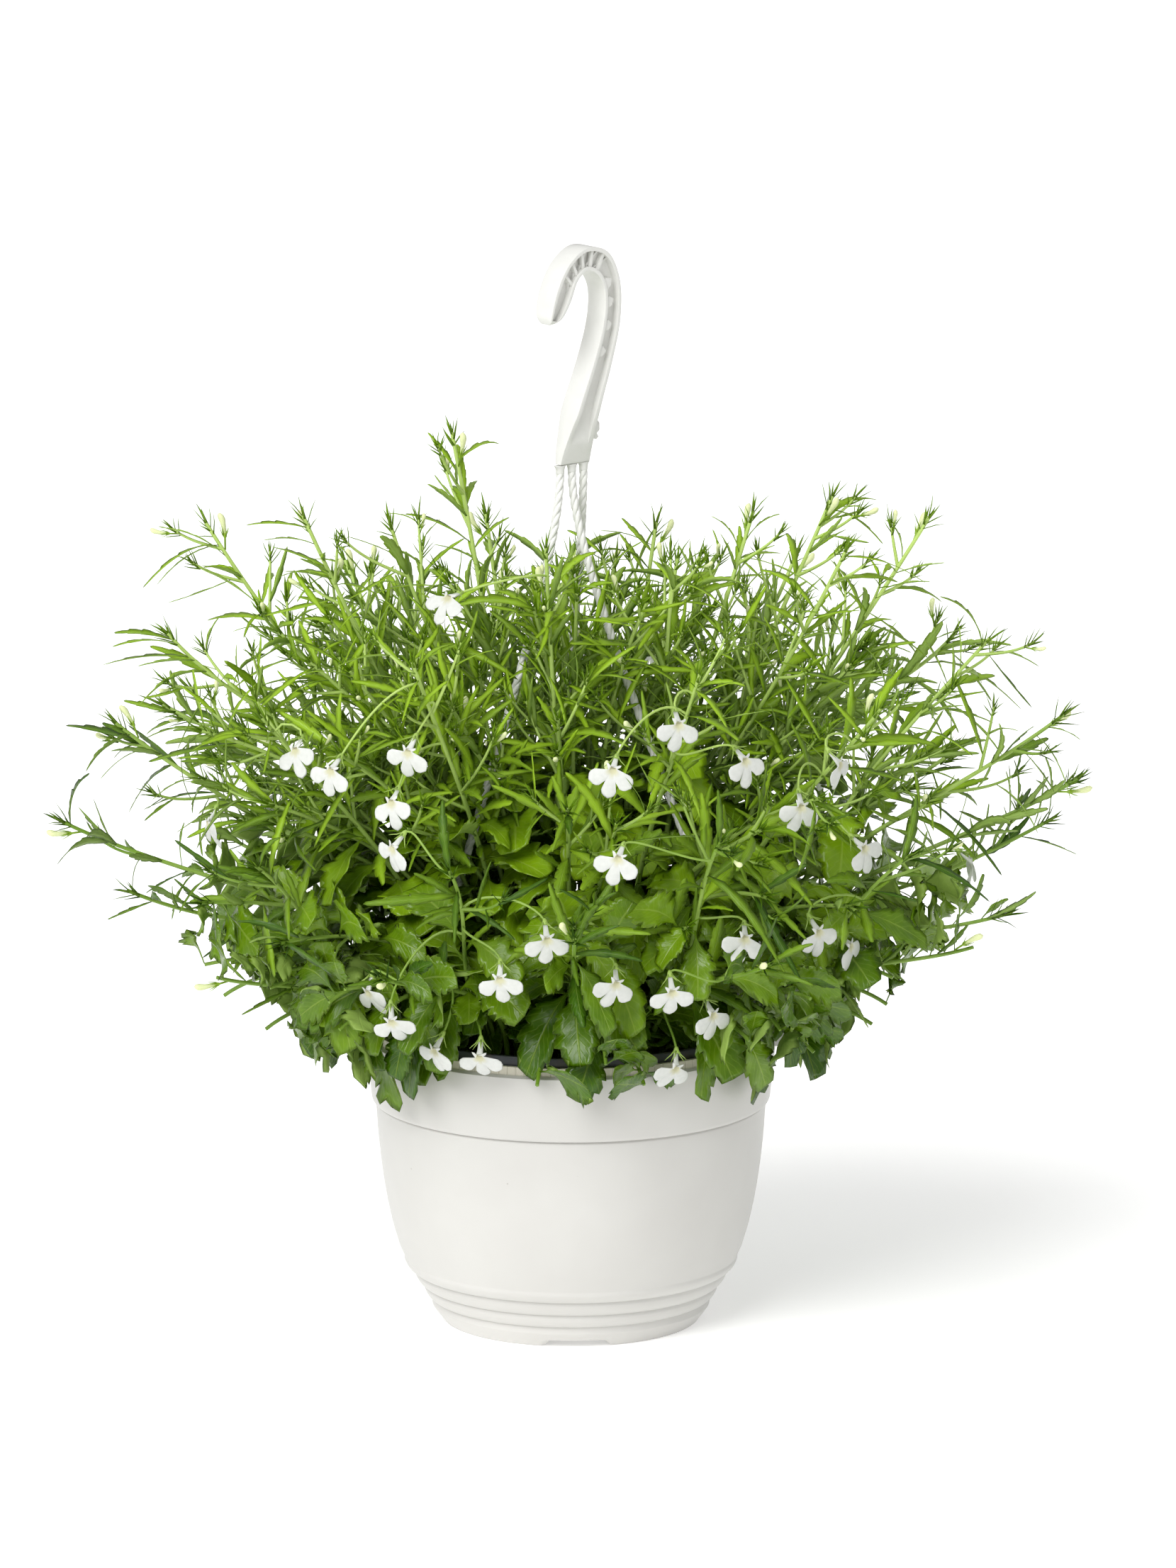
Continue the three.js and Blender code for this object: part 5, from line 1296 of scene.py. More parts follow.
# Bud: the folded corolla is a smooth, faintly downy cream that greens towards its calyx.
bud_cream, tree, spots = new_material("downy bud")
ripe = node(tree, "ShaderNodeAttribute", attribute_name="ripe").outputs["Fac"]
downy = node(tree, "ShaderNodeTexNoise", {"Vector": spots, "Scale": 1 / 0.002, "Detail": 3})
ripened = node(tree, "ShaderNodeMath", {0: downy, 1: 0.3, 2: ripe}, operation="MULTIPLY_ADD")
share = node(tree, "ShaderNodeMapRange", {0: ripened, "From Min": 0.2, "From Max": 1.15})
cream = node(tree, "ShaderNodeMix", {0: share, 6: linear("#86a82c"), 7: linear("#dfe6b0")}, data_type="RGBA")
bump = node(tree, "ShaderNodeBump", {"Height": downy, "Strength": 0.2, "Distance": 0.0002})
surfaced(tree, {"Base Color": cream, "Roughness": 0.55, "IOR": 1.4, "Normal": bump})

# ---------------------------------------------------------------- leaves
# Low on each shoot the leaves are broad and round-ended with shallow teeth, glossy, and cupped along a pale
# midrib. Further up they narrow to slim toothed blades, and each tip ends in a tuft of needle-fine bracts.

LEAVES = {
    "broad": {"length": 37, "width": 24, "spread": 1.15, "curl": 0.1, "sag": 0.34,
              "outline": [(0.44, 0.78), (0.57, 0.62), (0.76, 1), (1, 0.24)]},
    "middle": {"length": 35, "width": 9.5, "spread": 0.85, "curl": 0.16, "sag": 0.06,
               "outline": [(0.35, 0.62), (0.7, 1)]},
    "narrow": {"length": 28, "width": 4.4, "spread": 0.68, "curl": 0.12, "sag": 0,
               "outline": [(0.45, 1)]},
}
# The share of its full width that a leaf has at its foot and just past its end, and the room it takes up.
LEAF_FOOT = (0, 0.05)
LEAF_END = (1.001, 0.2)
LEAF_ROOM = {"back": 0.4, "over": 0.5}
LEAF_SCALES = (0.82, 1.12)
BROAD_OUTER = (0.1, 0.18, 0.27, 0.36)
BROAD_INNER = (0.15, 0.27)
MIDDLE_AT = (0.45, 0.57)
NARROW_AT = (0.7, 0.84)
SIDE_AT = (0.3, 0.5, 0.68, 0.84)
# Shoots that end further out than OUTER bear more broad leaves, and so do side shoots that end below LOW.
OUTER = 150
LOW = 200
LOW_BROAD = 0.6


def leaf_on(root, along, out, across, kind, scale, more_spread=0.0):
    form = LEAVES[kind]
    spread = form["spread"] + more_spread
    ahead = along * math.cos(spread) + out * math.sin(spread)
    return {"kind": kind, "root": root, "ahead": ahead, "across": across, "face": cross(ahead, across),
            "length": form["length"] * scale, "scale": scale, "curl": form["curl"], "sag": form["sag"]}


def leaf_point(leaf, share):
    bend = leaf["length"] * share * share
    return leaf["root"] + leaf["ahead"] * leaf["length"] * share - leaf["face"] * leaf["curl"] * bend \
        - UP * leaf["sag"] * bend


def half_width_at(leaf, share):
    form = LEAVES[leaf["kind"]]
    rows = [LEAF_FOOT, *form["outline"], LEAF_END]
    after = next(i for i, (along, _) in enumerate(rows) if along >= share and along > 0)
    (a, wide_a), (b, wide_b) = rows[after - 1], rows[after]
    return (wide_a + (wide_b - wide_a) * (share - a) / (b - a)) * form["width"] * leaf["scale"] / 2


def leaf_balls(leaf):
    balls = []
    count = math.ceil(leaf["length"] / BALL_STEP)
    for i in range(1, count + 1):
        share = i / count
        half = max(half_width_at(leaf, share), half_width_at(leaf, share - LEAF_ROOM["back"] / count))
        rows = math.ceil(half * 2 / BALL_STEP)
        radius = math.hypot(BALL_STEP / 2, min(half, BALL_STEP / 2)) + LEAF_ROOM["over"]
        for k in range(rows):
            offset = 0 if rows == 1 else -half + 2 * half * (k + 0.5) / rows
            balls.append(ball(leaf_point(leaf, share) + leaf["across"] * offset, radius))
    return balls


leaves = []


def plan_leaf(shoot, t, kind, first_side):
    scale = draw(*LEAF_SCALES)

    def leaf_from(facet):
        return leaf_on(facet["middle"], facet["along"], facet["out"], facet["across"], kind, scale)

    leaves.extend(grown_near(shoot, t, first_side, leaf_from, leaf_balls))


def plan_leaves(shoot):
    tip = shoot["curve"][3]
    broad_below = LOW_BROAD if tip[2] < LOW else 0
    plan = [(t, "broad" if t < broad_below else "narrow") for t in SIDE_AT]
    if shoot["main"]:
        outer = math.hypot(tip[0], tip[1]) > OUTER
        plan = [(t, "broad") for t in (BROAD_OUTER if outer else BROAD_INNER)]
        plan += [(t, "middle") for t in MIDDLE_AT] + [(t, "narrow") for t in NARROW_AT]
    for i, (t, kind) in enumerate(plan):
        plan_leaf(shoot, t, kind, 2 * i % SIDES)


for shoot in shoots:
    plan_leaves(shoot)

# Nothing that is added from here on stands in front of a flower.
FRONT = np.array((0, -0.98, 0.2))
VIEW = {"reaches": (8, 17, 27, 38, 50), "down": 2, "radius": 5, "widens": 0.05}
for bloom in blooms:
    look = unit(bloom["face"] + FRONT) if bloom["mouth"][1] < 0 else bloom["face"]
    start = bloom["mouth"] - UP * VIEW["down"]
    take([ball(start + look * reach, VIEW["radius"] + reach * VIEW["widens"]) for reach in VIEW["reaches"]],
         "view of a flower")

# The mound that the foliage fills: its reach across and from front to back, how far round a shoot's tip it
# may rise with it, its underside's height by radius, and its top's height by the share of its reach.
MOUND = {"x": 259, "y": 193, "crown": 34}
MOUND_HEM = [(0, 116), (116, 118), (134, 138), (152, 166), (200, 206), (245, 236)]
MOUND_TOP = [(0, 382), (0.5, 386), (0.68, 380), (0.8, 326), (0.9, 292), (1, 257)]
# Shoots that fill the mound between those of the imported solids, in rings from the rim up: how many, how far
# out their tips stand as a share of the mound, the height of the tips, and how steeply they rise there.
RINGS = [(44, 0.56, 160, -1.6), (44, 0.63, 154, -1.3), (30, 0.66, 174, -0.5), (26, 0.76, 196, -0.1),
         (24, 0.78, 226, 0.2), (20, 0.6, 262, 0.5), (22, 0.72, 290, 0.6), (18, 0.4, 306, 0.9),
         (24, 0.52, 340, 1), (14, 0.26, 364, 1.4)]
RING_COURSE = {"nearest": 12, "further": 0.3, "furthest": 66, "sunk": 2, "rise": 34, "rises_by": 0.4,
               "bend": 0.4, "clear_from": 0.08}
# How thick a filling shoot is, how much of its room it keeps clear, and how far its tip strays from its ring.
FILLER = {"tries": 32, "thick": 1, "keep": 0.2, "foot": 1.4, "tip": 0.95, "drawn": 0.9, "share": (0.86, 1.12),
          "height": (-16, 16), "lift": (-0.3, 0.3)}


def mound_share(point):
    """How far out in the mound a place is: 0 in the middle, 1 at its edge."""
    return math.hypot(point[0] / MOUND["x"], point[1] / MOUND["y"])


def in_mound(point, shoot):
    """Whether a place lies in the mound, or close round a shoot that rises above it."""
    out = mound_share(point)
    hem = np.interp(math.hypot(point[0], point[1]), *zip(*MOUND_HEM))
    tip = shoot["curve"][3]
    top = tip[2] if math.dist(point[:2], tip[:2]) < MOUND["crown"] else 0
    return out < 1 and hem < point[2] < max(top, np.interp(out, *zip(*MOUND_TOP)))


def bears_to(shoot, t):
    """An inner shoot is drawn as far as the last thing that grows on it."""
    shoot["drawn"] = max(shoot.get("drawn", 0), t)


def shrunk(balls, share):
    return [(x, y, z, radius * share) for x, y, z, radius in balls]


fillers = []


def plan_filler(number, i, count, share, height, lift):
    for attempt in range(FILLER["tries"]):
        angle = 2 * math.pi * (i + draw(-0.5, 0.5)) / count + number
        aim = np.array((math.cos(angle), math.sin(angle), 0))
        tip = aim * share * draw(*FILLER["share"]) * (MOUND["x"], MOUND["y"], 0)
        tip[2] = height + draw(*FILLER["height"])
        ahead = unit(aim + UP * (lift + draw(*FILLER["lift"])))
        curve = arching(tip, angle, ahead, RING_COURSE)
        balls = shrunk(curve_balls(curve, FILLER["thick"], RING_COURSE["clear_from"]), FILLER["keep"])
        if is_free(balls):
            take(balls, f"filler {number} {i}")
            fillers.append({"curve": curve, "stem": f"filler {number} {i}", "drawn": FILLER["drawn"]})
            return


for number, (count, *ring) in enumerate(RINGS):
    for i in range(count):
        plan_filler(number, i, count, *ring)
bearers = shoots + fillers


def age_at(point):
    """How far up and out a place is: 0 where leaves are broad, 1 where they are slim."""
    return min(max(AGEING["up"] * upwards_at(point) + AGEING["aside"] * (outwards_at(point) - 0.5), 0), 1)


def stem_frame(curve, t, turn):
    """A point on a shoot with its heading, and the directions out of it and level across that at `turn`."""
    along, level, raised = frame_at(curve, t)
    out = level * math.cos(turn) + raised * math.sin(turn)
    return curve_point(curve, t), along, out, cross(along, out)


GOLDEN = 2.39996
# What more grows along a shoot: the kind of leaf, the age below which it grows, its least and greatest scale,
# how much it droops, and the share of places that bear one.
KINDS = [("broad", 0.34, (0.6, 1.15), (0.15, 0.8), 1), ("middle", 0.44, (0.5, 1), (0, 0.5), 0.6),
         ("narrow", 9, (0.8, 1.65), (0, 0.4), 0.56)]
FILLING = {"every": 4.2, "tries": 8, "turn": 1.1, "keep": 0.28, "off": 0.6, "inwards": -0.25, "spread": 0.6,
           "curl": (-0.1, 0.4)}
# How a leaf ages with its height, its place across the plant and along its shoot, and far out in the mound.
AGEING = {"up": 0.75, "aside": 0.3, "tip": 0.2, "out": 0.4, "from": 0.6, "strays": 0.08}


def plan_filling(shoot, number):
    """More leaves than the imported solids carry, in the room that is left."""
    count = round(math.dist(shoot["curve"][0], shoot["curve"][3]) / FILLING["every"])
    for i in range(count):
        t = (i + draw()) / count
        spot = curve_point(shoot["curve"], t)
        reach = max(0, mound_share(spot) - AGEING["from"])
        strays = draw(-AGEING["strays"], AGEING["strays"])
        age = age_at(spot) + AGEING["tip"] * (t - 0.5) + AGEING["out"] * reach + strays
        kind, _, scales, sags, share = next(row for row in KINDS if age < row[1])
        scale, sag, curl = draw(*scales), draw(*sags), draw(*FILLING["curl"])
        more = draw(-1, 1) * FILLING["spread"]
        if draw() > share:
            continue
        for attempt in range(FILLING["tries"]):
            turn = number + i * GOLDEN + attempt * FILLING["turn"]
            point, along, out, across = stem_frame(shoot["curve"], t, turn)
            leaf = leaf_on(point + out * FILLING["off"], along, out, across, kind, scale, more)
            leaf.update(sag=sag, curl=curl)
            towards_middle = leaf["ahead"][:2] @ point[:2] < FILLING["inwards"] * abs(point[1])
            balls = shrunk(leaf_balls(leaf), FILLING["keep"])
            if not (kind == "broad" and towards_middle) and in_mound(leaf_point(leaf, 1), shoot) \
                    and grows_free(balls, shoot["stem"]):
                take(balls, "filling")
                leaves.append(leaf)
                bears_to(shoot, t)
                break


for number, shoot in enumerate(bearers):
    plan_filling(shoot, number)

TWIG = {"every": 19, "from": 0.34, "thins": (0.6, 1.1), "lengths": (30, 60), "shortens": (1.25, 0.75),
        "thick": 0.95, "tip": 0.6, "last": 0.97, "tries": 4, "turn": 1.3, "along": 0.8, "out": 0.75,
        "rises": 0.16, "leave": 0.4, "bend": 0.35, "steep": 0.6, "room": 1.3}
twigs = []


def plan_twigs(shoot, number):
    """Finer twigs up a shoot, shorter towards its tip."""
    own = f"leaf of {shoot['stem']}"
    count = round(math.dist(shoot["curve"][0], shoot["curve"][3]) / TWIG["every"])
    for i in range(count):
        t = min((i + draw()) / count, TWIG["last"])
        length = draw(*TWIG["lengths"]) * (TWIG["shortens"][0] - TWIG["shortens"][1] * t)
        start = curve_point(shoot["curve"], t)
        if age_at(start) < TWIG["from"] or mound_share(start) > draw(*TWIG["thins"]):
            continue
        for attempt in range(TWIG["tries"]):
            turn = number + i * GOLDEN + attempt * TWIG["turn"]
            start, along, out, _ = stem_frame(shoot["curve"], t, turn)
            leave = unit(along * TWIG["along"] + out * TWIG["out"])
            tip = start + leave * length + UP * length * TWIG["rises"]
            bend = tip - unit(leave + UP * TWIG["steep"]) * length * TWIG["bend"]
            curve = np.array((start, start + leave * length * TWIG["leave"], bend, tip))
            balls = [ball(curve_point(curve, share), TWIG["room"]) for share in (0.35, 0.55, 0.75, 0.9, 1)]
            if in_mound(tip, shoot) and is_free(balls, (shoot["stem"], own, "filling")):
                take(balls, f"twig of {shoot['stem']}")
                twigs.append({"curve": curve, "stem": shoot["stem"], "turn": turn, "length": length})
                bears_to(shoot, t)
                break


for number, shoot in enumerate(bearers):
    plan_twigs(shoot, number)
twig_stems = line_object("twigs", [line_of(twig["curve"], TWIG["thick"], TWIG["tip"]) for twig in twigs])
grown(twig_stems, tube_tree, {"Sides": 5, "Material": stem_green})
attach(twig_stems, "root")

TWIG_LEAF = {"every": 9.5, "scales": (0.6, 1.4), "spread": (-0.3, 0.4), "curl": (-0.1, 0.4), "room": 0.8}
twig_leaves = []


def plan_twig_leaves(twig):
    owners = (twig["stem"], f"leaf of {twig['stem']}", f"twig of {twig['stem']}", "filling")
    count = round(twig["length"] / TWIG_LEAF["every"])
    for i in range(count):
        t = (i + 0.6) / count
        point, along, out, across = stem_frame(twig["curve"], t, twig["turn"] + i * GOLDEN)
        scale = draw(*TWIG_LEAF["scales"]) * (1.15 - 0.4 * t)
        leaf = leaf_on(point, along, out, across, "narrow", scale, draw(*TWIG_LEAF["spread"]))
        leaf.update(kind="twig", curl=draw(*TWIG_LEAF["curl"]))
        balls = [ball(leaf_point(leaf, share), TWIG_LEAF["room"]) for share in (0.5, 0.75, 1)]
        if in_mound(leaf_point(leaf, 1), twig) and is_free(balls, owners):
            twig_leaves.append(leaf)


for twig in twigs:
    plan_twig_leaves(twig)

TUFT = {"from": 0.25, "bracts": 9, "lengths": (8, 15), "least": 0.1, "most": 0.85, "strays": 0.1,
        "curl": (-0.12, 0.16), "back": 8, "on_twig": 0.8}
bracts = []


def plan_tuft(curve, turn, size):
    """Needle-fine bracts round a growing tip."""
    for i in range(TUFT["bracts"]):
        share = i / TUFT["bracts"]
        point, along, out, across = stem_frame(curve, 1, turn + i * GOLDEN)
        spread = TUFT["most"] + (TUFT["least"] - TUFT["most"]) * share + draw(-TUFT["strays"], TUFT["strays"])
        ahead = along * math.cos(spread) + out * math.sin(spread)
        bracts.append({"kind": "bract", "root": point - along * TUFT["back"] * (1 - share) * size,
                       "ahead": ahead, "across": across, "face": cross(ahead, across),
                       "curl": draw(*TUFT["curl"]), "sag": 0, "length": draw(*TUFT["lengths"]) * size,
                       "scale": size})


for number, shoot in enumerate(bearers):
    if age_at(shoot["curve"][3]) > TUFT["from"]:
        plan_tuft(shoot["curve"], number, 1.0)
        bears_to(shoot, 1)
for number, twig in enumerate(twigs):
    plan_tuft(twig["curve"], number, TUFT["on_twig"])

inner_shoots = line_object("inner_shoots", [
    line_of(filler["curve"], FILLER["foot"], FILLER["tip"], filler["drawn"]) for filler in fillers])
grown(inner_shoots, tube_tree, {"Sides": 5, "Material": stem_green})
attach(inner_shoots, "root")

# More buds near the tips of some twigs.
TWIG_BUD = {"every": 3, "at": 0.8, "room": 1.6, "reaches": (8, 14), "sizes": (0.5, 0.9)}
for twig in twigs[::TWIG_BUD["every"]]:
    point, along, out, _ = stem_frame(twig["curve"], TWIG_BUD["at"], twig["turn"])
    bud = bud_on(point, along, out)
    balls = [ball(point + bud["ahead"] * reach, TWIG_BUD["room"]) for reach in TWIG_BUD["reaches"]]
    if is_free(balls, (twig["stem"], f"twig of {twig['stem']}", "filling")):
        buds.append({**bud, "size": draw(*TWIG_BUD["sizes"])})
bud_heads = new_object("buds", place(each(buds, "root")), values={
    "facing": each(buds, "ahead"), "upper": -each(buds, "out"), "size": each(buds, "size")})
grown(bud_heads, head_tree, {"Head": bud_mesh(), "Material": bud_cream})
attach(bud_heads, "root")

# A tooth from the notch below it: how far along, how deep in, and how far the edge leans ahead.
TOOTH = [(0, 1, 0), (0.35, 0.2, 0.01), (0.72, 0, 0.035)]


def toothed_rows(margin, first, teeth, depth):
    """A blade's outline with teeth past `first`, as rows of (along, half width, how far its edge leans)."""
    shares, halves = zip(*margin)
    rows = [(share, half, 0) for share, half in margin if share < first]
    for k, (at, fall, lean) in product(range(teeth), TOOTH):
        share = first + (1 - first) * (k + at) / teeth
        half = float(np.interp(share, shares, halves))
        rows.append((share, half * (1 - depth * fall), lean))
    return [*rows, (1, 0, 0)]


def blade_mesh(name, rows, columns):
    """A thin blade, one long. `form` holds each corner's place and side, and `leaf` its shares and side."""
    corners, shares, tops, unders = [], [], [], []
    for along, half, lean in rows:
        top, under = [], []
        for column in columns:
            if half == 0:
                if not top:
                    corners.append((0, along, 0))
                    shares.append((0, along, 0))
                top.append(len(corners) - 1)
                under.append(len(corners) - 1)
                continue
            rim = abs(column) == 1
            ahead = along + lean * column * column
            corners.append((column * half, ahead, 0 if rim else 1))
            shares.append((column, ahead, 0 if rim else 1))
            top.append(len(corners) - 1)
            if not rim:
                corners.append((column * half, ahead, -1))
                shares.append((column, ahead, -1))
            under.append(len(corners) - 1)
        tops.append(top)
        unders.append(under)
    faces = []
    for sheet, turned_over in ((tops, False), (unders, True)):
        for near, far in zip(sheet, sheet[1:]):
            for k in range(len(columns) - 1):
                face = list(dict.fromkeys([near[k], near[k + 1], far[k + 1], far[k]]))
                if len(face) > 2:
                    faces.append(face[::-1] if turned_over else face)
    faces.append([*unders[0], *tops[0][-2:0:-1]])
    return new_object(name, np.array(corners) * (1, 1, 0.01), faces, values={"form": corners, "leaf": shares},
                      shown=False)


# A blade is stood on each point and bent: along `reach`, drooping by `bend`, as wide as `wide`, twisted by
# `twist`, its edges lifted by `cup` and ruffled.
tree, given = new_tree("bent blades", {"Blade": "Object", "Thickness": "Float", "Ruffle": "Float",
                                       "Ruffles": "Float", "Material": "Material"})
read = {name: node(tree, "GeometryNodeInputNamedAttribute", {"Name": name}, data_type=kind)
        for name, kind in (("form", "FLOAT_VECTOR"), ("root", "FLOAT_VECTOR"), ("reach", "FLOAT_VECTOR"),
                           ("bend", "FLOAT_VECTOR"), ("wide", "FLOAT_VECTOR"), ("twist", "FLOAT"),
                           ("cup", "FLOAT"), ("tone", "FLOAT"))}
form = node(tree, "GeometryNodeObjectInfo", {"Object": given["Blade"]})
stood = node(tree, "GeometryNodeInstanceOnPoints", {
    "Points": given["Geometry"], "Instance": form.outputs["Geometry"]})
real = node(tree, "GeometryNodeRealizeInstances", {0: stood})
aside, along, side = node(tree, "ShaderNodeSeparateXYZ", {0: read["form"]}).outputs
square = node(tree, "ShaderNodeMath", {0: along, 1: along}, operation="MULTIPLY")
reached = node(tree, "ShaderNodeVectorMath", {0: read["reach"], "Scale": along}, operation="SCALE")
drooped = node(tree, "ShaderNodeVectorMath", {0: read["bend"], "Scale": square}, operation="SCALE")
bowed = node(tree, "ShaderNodeVectorMath", {0: reached, 1: drooped}, operation="ADD")
centre = node(tree, "ShaderNodeVectorMath", {0: bowed, 1: read["root"]}, operation="ADD")
twice = node(tree, "ShaderNodeMath", {0: along, 1: 2}, operation="MULTIPLY")
slope = node(tree, "ShaderNodeVectorMath", {0: read["bend"], "Scale": twice}, operation="SCALE")
course = node(tree, "ShaderNodeVectorMath", {0: read["reach"], 1: slope}, operation="ADD")
turn = node(tree, "ShaderNodeMath", {0: read["twist"], 1: along}, operation="MULTIPLY")
wide = node(tree, "ShaderNodeVectorRotate", {"Vector": read["wide"], "Axis": course, "Angle": turn})
square_to = node(tree, "ShaderNodeVectorMath", {0: wide, 1: course}, operation="CROSS_PRODUCT")
over = node(tree, "ShaderNodeVectorMath", {0: square_to}, operation="NORMALIZE")
spread = node(tree, "ShaderNodeVectorMath", {0: wide, "Scale": aside}, operation="SCALE")
thick = node(tree, "ShaderNodeMath", {0: side, 1: given["Thickness"]}, operation="MULTIPLY")
away = node(tree, "ShaderNodeMath", {0: aside, 1: aside}, operation="MULTIPLY")
cupped = node(tree, "ShaderNodeMath", {0: away, 1: read["cup"], 2: thick}, operation="MULTIPLY_ADD")
waves = node(tree, "ShaderNodeMath", {0: along, 1: given["Ruffles"], 2: read["tone"]},
             operation="MULTIPLY_ADD")
angle = node(tree, "ShaderNodeMath", {0: waves, 1: 2 * math.pi}, operation="MULTIPLY")
wave = node(tree, "ShaderNodeMath", {0: angle}, operation="SINE")
ruffle = node(tree, "ShaderNodeMath", {0: aside, 1: given["Ruffle"]}, operation="MULTIPLY")
lift = node(tree, "ShaderNodeMath", {0: wave, 1: ruffle, 2: cupped}, operation="MULTIPLY_ADD")
raised = node(tree, "ShaderNodeVectorMath", {0: over, "Scale": lift}, operation="SCALE")
flat = node(tree, "ShaderNodeVectorMath", {0: centre, 1: spread}, operation="ADD")
spot = node(tree, "ShaderNodeVectorMath", {0: flat, 1: raised}, operation="ADD")
bent = node(tree, "GeometryNodeSetPosition", {0: real, "Position": spot})
blade_tree = coated(tree, bent, given["Material"])


def leaf_material(name, dark, light, midrib, under, roughness, sheen):
    """Leaf skin between a deep and a young green, set by its tone, which is partly the leaf's age and partly
    painted light and shade. It has a pale midrib, side veins and a dull, paler back.
    """
    made, tree, spots = new_material(name)
    share = node(tree, "ShaderNodeAttribute", attribute_name="leaf").outputs["Vector"]
    tone = node(tree, "ShaderNodeAttribute", attribute_name="tone").outputs["Fac"]
    across, along, side = node(tree, "ShaderNodeSeparateXYZ", {0: share}).outputs
    patchy = node(tree, "ShaderNodeTexNoise", {"Vector": spots, "Scale": 1 / 0.009, "Detail": 4})
    mottled = node(tree, "ShaderNodeMath", {0: patchy, 1: 0.5, 2: tone}, operation="MULTIPLY_ADD")
    toned = node(tree, "ShaderNodeMapRange", {0: mottled, "From Min": 0.15, "From Max": 1.25})
    green = node(tree, "ShaderNodeMix", {0: toned, 6: linear(dark), 7: linear(light)}, data_type="RGBA")
    aside = node(tree, "ShaderNodeMath", {0: across}, operation="ABSOLUTE")
    rib = node(tree, "ShaderNodeMapRange", {
        0: aside, "From Min": 0.01, "From Max": 0.07, "To Min": 0.75, "To Max": 0})
    slanted = node(tree, "ShaderNodeMath", {0: aside, 1: -0.28, 2: along}, operation="MULTIPLY_ADD")
    rows = node(tree, "ShaderNodeMath", {0: slanted, 1: 11}, operation="MULTIPLY")
    row = node(tree, "ShaderNodeMath", {0: rows, 1: 0.5}, operation="PINGPONG")
    vein = node(tree, "ShaderNodeMapRange", {0: row, "From Max": 0.16, "To Min": 0.3, "To Max": 0})
    rim = node(tree, "ShaderNodeMapRange", {0: aside, "From Min": 0.9, "From Max": 1, "To Max": 0.4})
    pale = node(tree, "ShaderNodeMath", {0: rib, 1: vein}, operation="MAXIMUM")
    paler = node(tree, "ShaderNodeMath", {0: pale, 1: rim}, operation="MAXIMUM")
    paleness = node(tree, "ShaderNodeMath", {0: paler, 1: 0.36}, operation="MULTIPLY")
    veined = node(tree, "ShaderNodeMix", {0: paleness, 6: green, 7: linear(midrib)}, data_type="RGBA")
    back = node(tree, "ShaderNodeMapRange", {
        0: side, "From Min": -0.5, "From Max": 0, "To Min": 0.75, "To Max": 0})
    both = node(tree, "ShaderNodeMix", {0: back, 6: veined, 7: linear(under)}, data_type="RGBA")
    dull = node(tree, "ShaderNodeMapRange", {0: back, "To Min": roughness, "To Max": 0.75})
    relief = node(tree, "ShaderNodeMath", {0: pale, 1: -0.6, 2: patchy}, operation="MULTIPLY_ADD")
    bump = node(tree, "ShaderNodeBump", {"Height": relief, "Strength": 0.6, "Distance": 0.0005})
    surfaced(tree, {"Base Color": both, "Roughness": dull, "IOR": 1.45, "Specular IOR Level": sheen,
                    "Normal": bump}, 0.22)
    return made


# Broad leaf: a glossy waxy cuticle on deep green. Slim leaf: thinner, lighter and less glossy. Bract: tougher
# and deeper green than the leaves below it.
broad_green = leaf_material("waxy leaf", "#3d6400", "#a0c81a", "#c0d862", "#a2be5e", 0.26, 0.55)
slim_green = leaf_material("young leaf", "#3f6800", "#a4cc26", "#c2da72", "#a9c56c", 0.32, 0.45)
bract_green = leaf_material("tough bract", "#365c00", "#7aa40c", "#8eae30", "#84a43a", 0.42, 0.25)

# Half a blade's width along it, as (along, half width) from its foot to its tip.
BROAD_MARGIN = [(0, 0.06), (0.16, 0.07), (0.27, 0.24), (0.37, 0.66), (0.48, 0.92), (0.6, 1.05), (0.72, 1.06),
                (0.84, 0.92), (0.93, 0.66), (1, 0.3)]
LANCE_MARGIN = [(0, 0.1), (0.15, 0.3), (0.35, 0.75), (0.55, 1), (0.75, 0.85), (0.9, 0.45), (1, 0.1)]
SLIM_MARGIN = [(0, 0.2), (0.2, 0.7), (0.45, 1), (0.7, 0.8), (0.9, 0.4), (1, 0.1)]
NEEDLE = [(0, 1, 0), (0.55, 0.72, 0), (1, 0, 0)]
KEEL = (-1, 0, 1)
# Each kind of blade: its rows from foot to tip, and its columns from edge to edge.
BLADES = {
    "broad": blade_mesh("broad blade", toothed_rows(BROAD_MARGIN, 0.34, 4, 0.2), (-1, -0.55, 0, 0.55, 1)),
    "middle": blade_mesh("lance blade", toothed_rows(LANCE_MARGIN, 0.2, 5, 0.16), KEEL),
    "narrow": blade_mesh("slim blade", toothed_rows(SLIM_MARGIN, 0.3, 3, 0.25), KEEL),
    "twig": blade_mesh("fine blade", toothed_rows(SLIM_MARGIN, 0.3, 2, 0.25), KEEL),
    "bract": blade_mesh("needle blade", NEEDLE, KEEL),
}
# Kind of leaf: piece's name, full width, thickness, ruffle, ruffles along it, cupping, how far it may curve
# to a side, how far its tone may differ, the most of them in one piece, and material.
BLADE_LOOKS = {
    "broad": ("broad_leaves", 24, 0.28, 1.4, 2.6, 0.3, 0.07, 0.2, 600, broad_green),
    "middle": ("lance_leaves", 9.5, 0.24, 0.45, 2, 0.3, 0.14, 0.34, 900, slim_green),
    "narrow": ("slim_leaves", 4.1, 0.2, 0.1, 2, 0.26, 0.24, 0.4, 2500, slim_green),
    "twig": ("twig_leaves", 3.3, 0.2, 0.1, 2, 0.26, 0.24, 0.4, 3000, slim_green),
    "bract": ("tip_bracts", 1.5, 0.25, 0, 1, 0, 0.15, 0.25, 7000, bract_green),
}
TWIST = 0.5


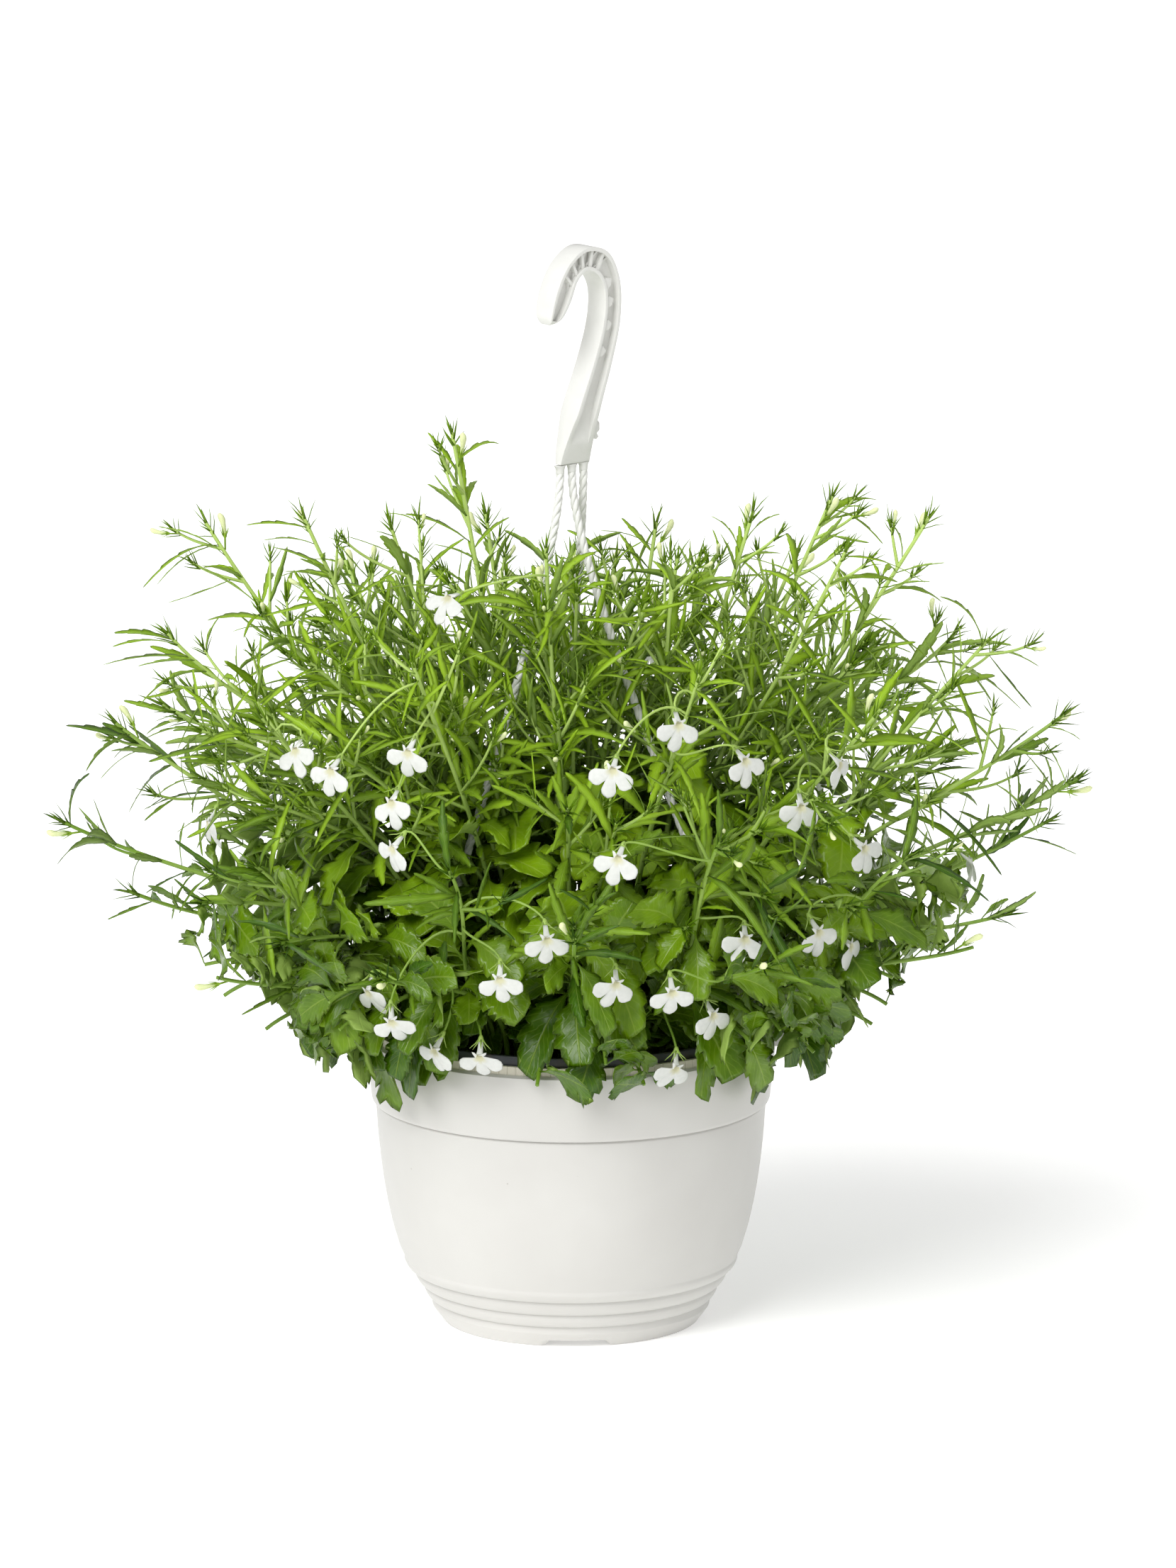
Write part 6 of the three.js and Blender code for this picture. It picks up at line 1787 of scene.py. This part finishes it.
def grow_blades(name, kind, grouped):
    """One piece of blades of one kind."""
    _, width, thickness, ruffle, ruffles, cupping, sickle, spread, _, material = BLADE_LOOKS[kind]
    lengths = each(grouped, "length")[:, None] * MM
    halves = each(grouped, "scale") * width / 2 * MM
    roots = place(each(grouped, "root"))
    bends = [leaf["across"] * draw(-sickle, sickle) - leaf["face"] * leaf["curl"] - UP * leaf["sag"]
             for leaf in grouped]
    blades = new_object(name, roots, values={
        "root": roots, "reach": each(grouped, "ahead") * lengths, "bend": np.array(bends) * lengths,
        "wide": -each(grouped, "across") * halves[:, None],
        "twist": [draw(-TWIST, TWIST) for _ in grouped],
        "cup": halves * [cupping * draw(0.3, 1.7) for _ in grouped],
        "tone": [painted_light_and_age_at(leaf_point(leaf, 0.6)) + draw(-spread, spread) for leaf in grouped]})
    grown(blades, blade_tree, {"Blade": BLADES[kind], "Thickness": thickness * MM, "Ruffle": ruffle * MM,
                               "Ruffles": ruffles, "Material": material})
    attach(blades, "root")


for kind, (name, *_, most, _) in BLADE_LOOKS.items():
    grouped = [leaf for leaf in leaves + twig_leaves + bracts if leaf["kind"] == kind]
    pieces = math.ceil(len(grouped) / most)
    for i in range(pieces):
        grow_blades(name if pieces == 1 else f"{name}_{i + 1}", kind, grouped[i::pieces])

# ---------------------------------------------------------------- floor, light and camera
# A plain pale floor, one broad soft light and a bright room, with the camera at the height of the foliage.

FLOOR_RADIUS = 40
FLOOR_SIDES = 64
CAMERA = {"distance": 7.03, "elevation": 12.3, "lens": 330, "aim": (8.4, 0, 267.8)}

floor_turns = [2 * math.pi * k / FLOOR_SIDES for k in range(FLOOR_SIDES)]
floor_corners = [(FLOOR_RADIUS * math.cos(turn), FLOOR_RADIUS * math.sin(turn), FOOT[2])
                 for turn in floor_turns]
floor = new_object("floor", floor_corners, [list(range(FLOOR_SIDES))])
# Translucent white acrylic lit softly from below, so that shadows on it stay faint.
floor_white, tree, _ = new_material("lit white acrylic")
surfaced(tree, {"Roughness": 0.8, "Base Color": linear("#fbfbfa"), "Emission Color": linear("#ffffff"),
                "Emission Strength": 0.3})
floor.data.materials.append(floor_white)

world = bpy.data.worlds.new("bright room")
world.use_nodes = True
tree = world.node_tree
tree.nodes.clear()
towards = node(tree, "ShaderNodeTexCoord").outputs["Generated"]
aside, _, up = node(tree, "ShaderNodeSeparateXYZ", {0: towards}).outputs
overhead = node(tree, "ShaderNodeMapRange", {
    0: up, "From Min": 0.05, "From Max": 0.7, "To Min": 0.4, "To Max": 0.62}, interpolation_type="SMOOTHSTEP")
leftward = node(tree, "ShaderNodeMapRange", {
    0: aside, "From Min": -1, "From Max": 1, "To Min": 1.12, "To Max": 0.88})
bright = node(tree, "ShaderNodeMath", {0: overhead, 1: leftward}, operation="MULTIPLY")
room = node(tree, "ShaderNodeBackground", {"Color": (1, 1, 1, 1), "Strength": bright})
node(tree, "ShaderNodeOutputWorld", {"Surface": room})
bpy.context.scene.world = world


def soft_light(name, towards, strength, softness):
    """A broad soft light, even over the whole floor, that shines along `towards`."""
    light = bpy.data.lights.new(name, "SUN")
    light.energy = strength
    light.angle = math.radians(softness)
    made = bpy.data.objects.new(name, light)
    made.rotation_euler = Vector(towards).to_track_quat("-Z", "Y").to_euler()
    bpy.context.scene.collection.objects.link(made)


soft_light("key light", (0.5, 0.85, -0.88), 2.5, 38)

lens = bpy.data.cameras.new("camera")
lens.sensor_fit = "VERTICAL"
lens.sensor_height = 36
lens.lens = CAMERA["lens"]
lens.clip_end = 100
camera = bpy.data.objects.new("camera", lens)
aim = Vector(place(CAMERA["aim"]))
rise = math.radians(CAMERA["elevation"])
away = Vector((0, -math.cos(rise), math.sin(rise)))
camera.location = aim + away * CAMERA["distance"]
camera.rotation_euler = (-away).to_track_quat("-Z", "Y").to_euler()
bpy.context.scene.collection.objects.link(camera)
bpy.context.scene.camera = camera
bpy.context.scene.view_settings.view_transform = "Standard"
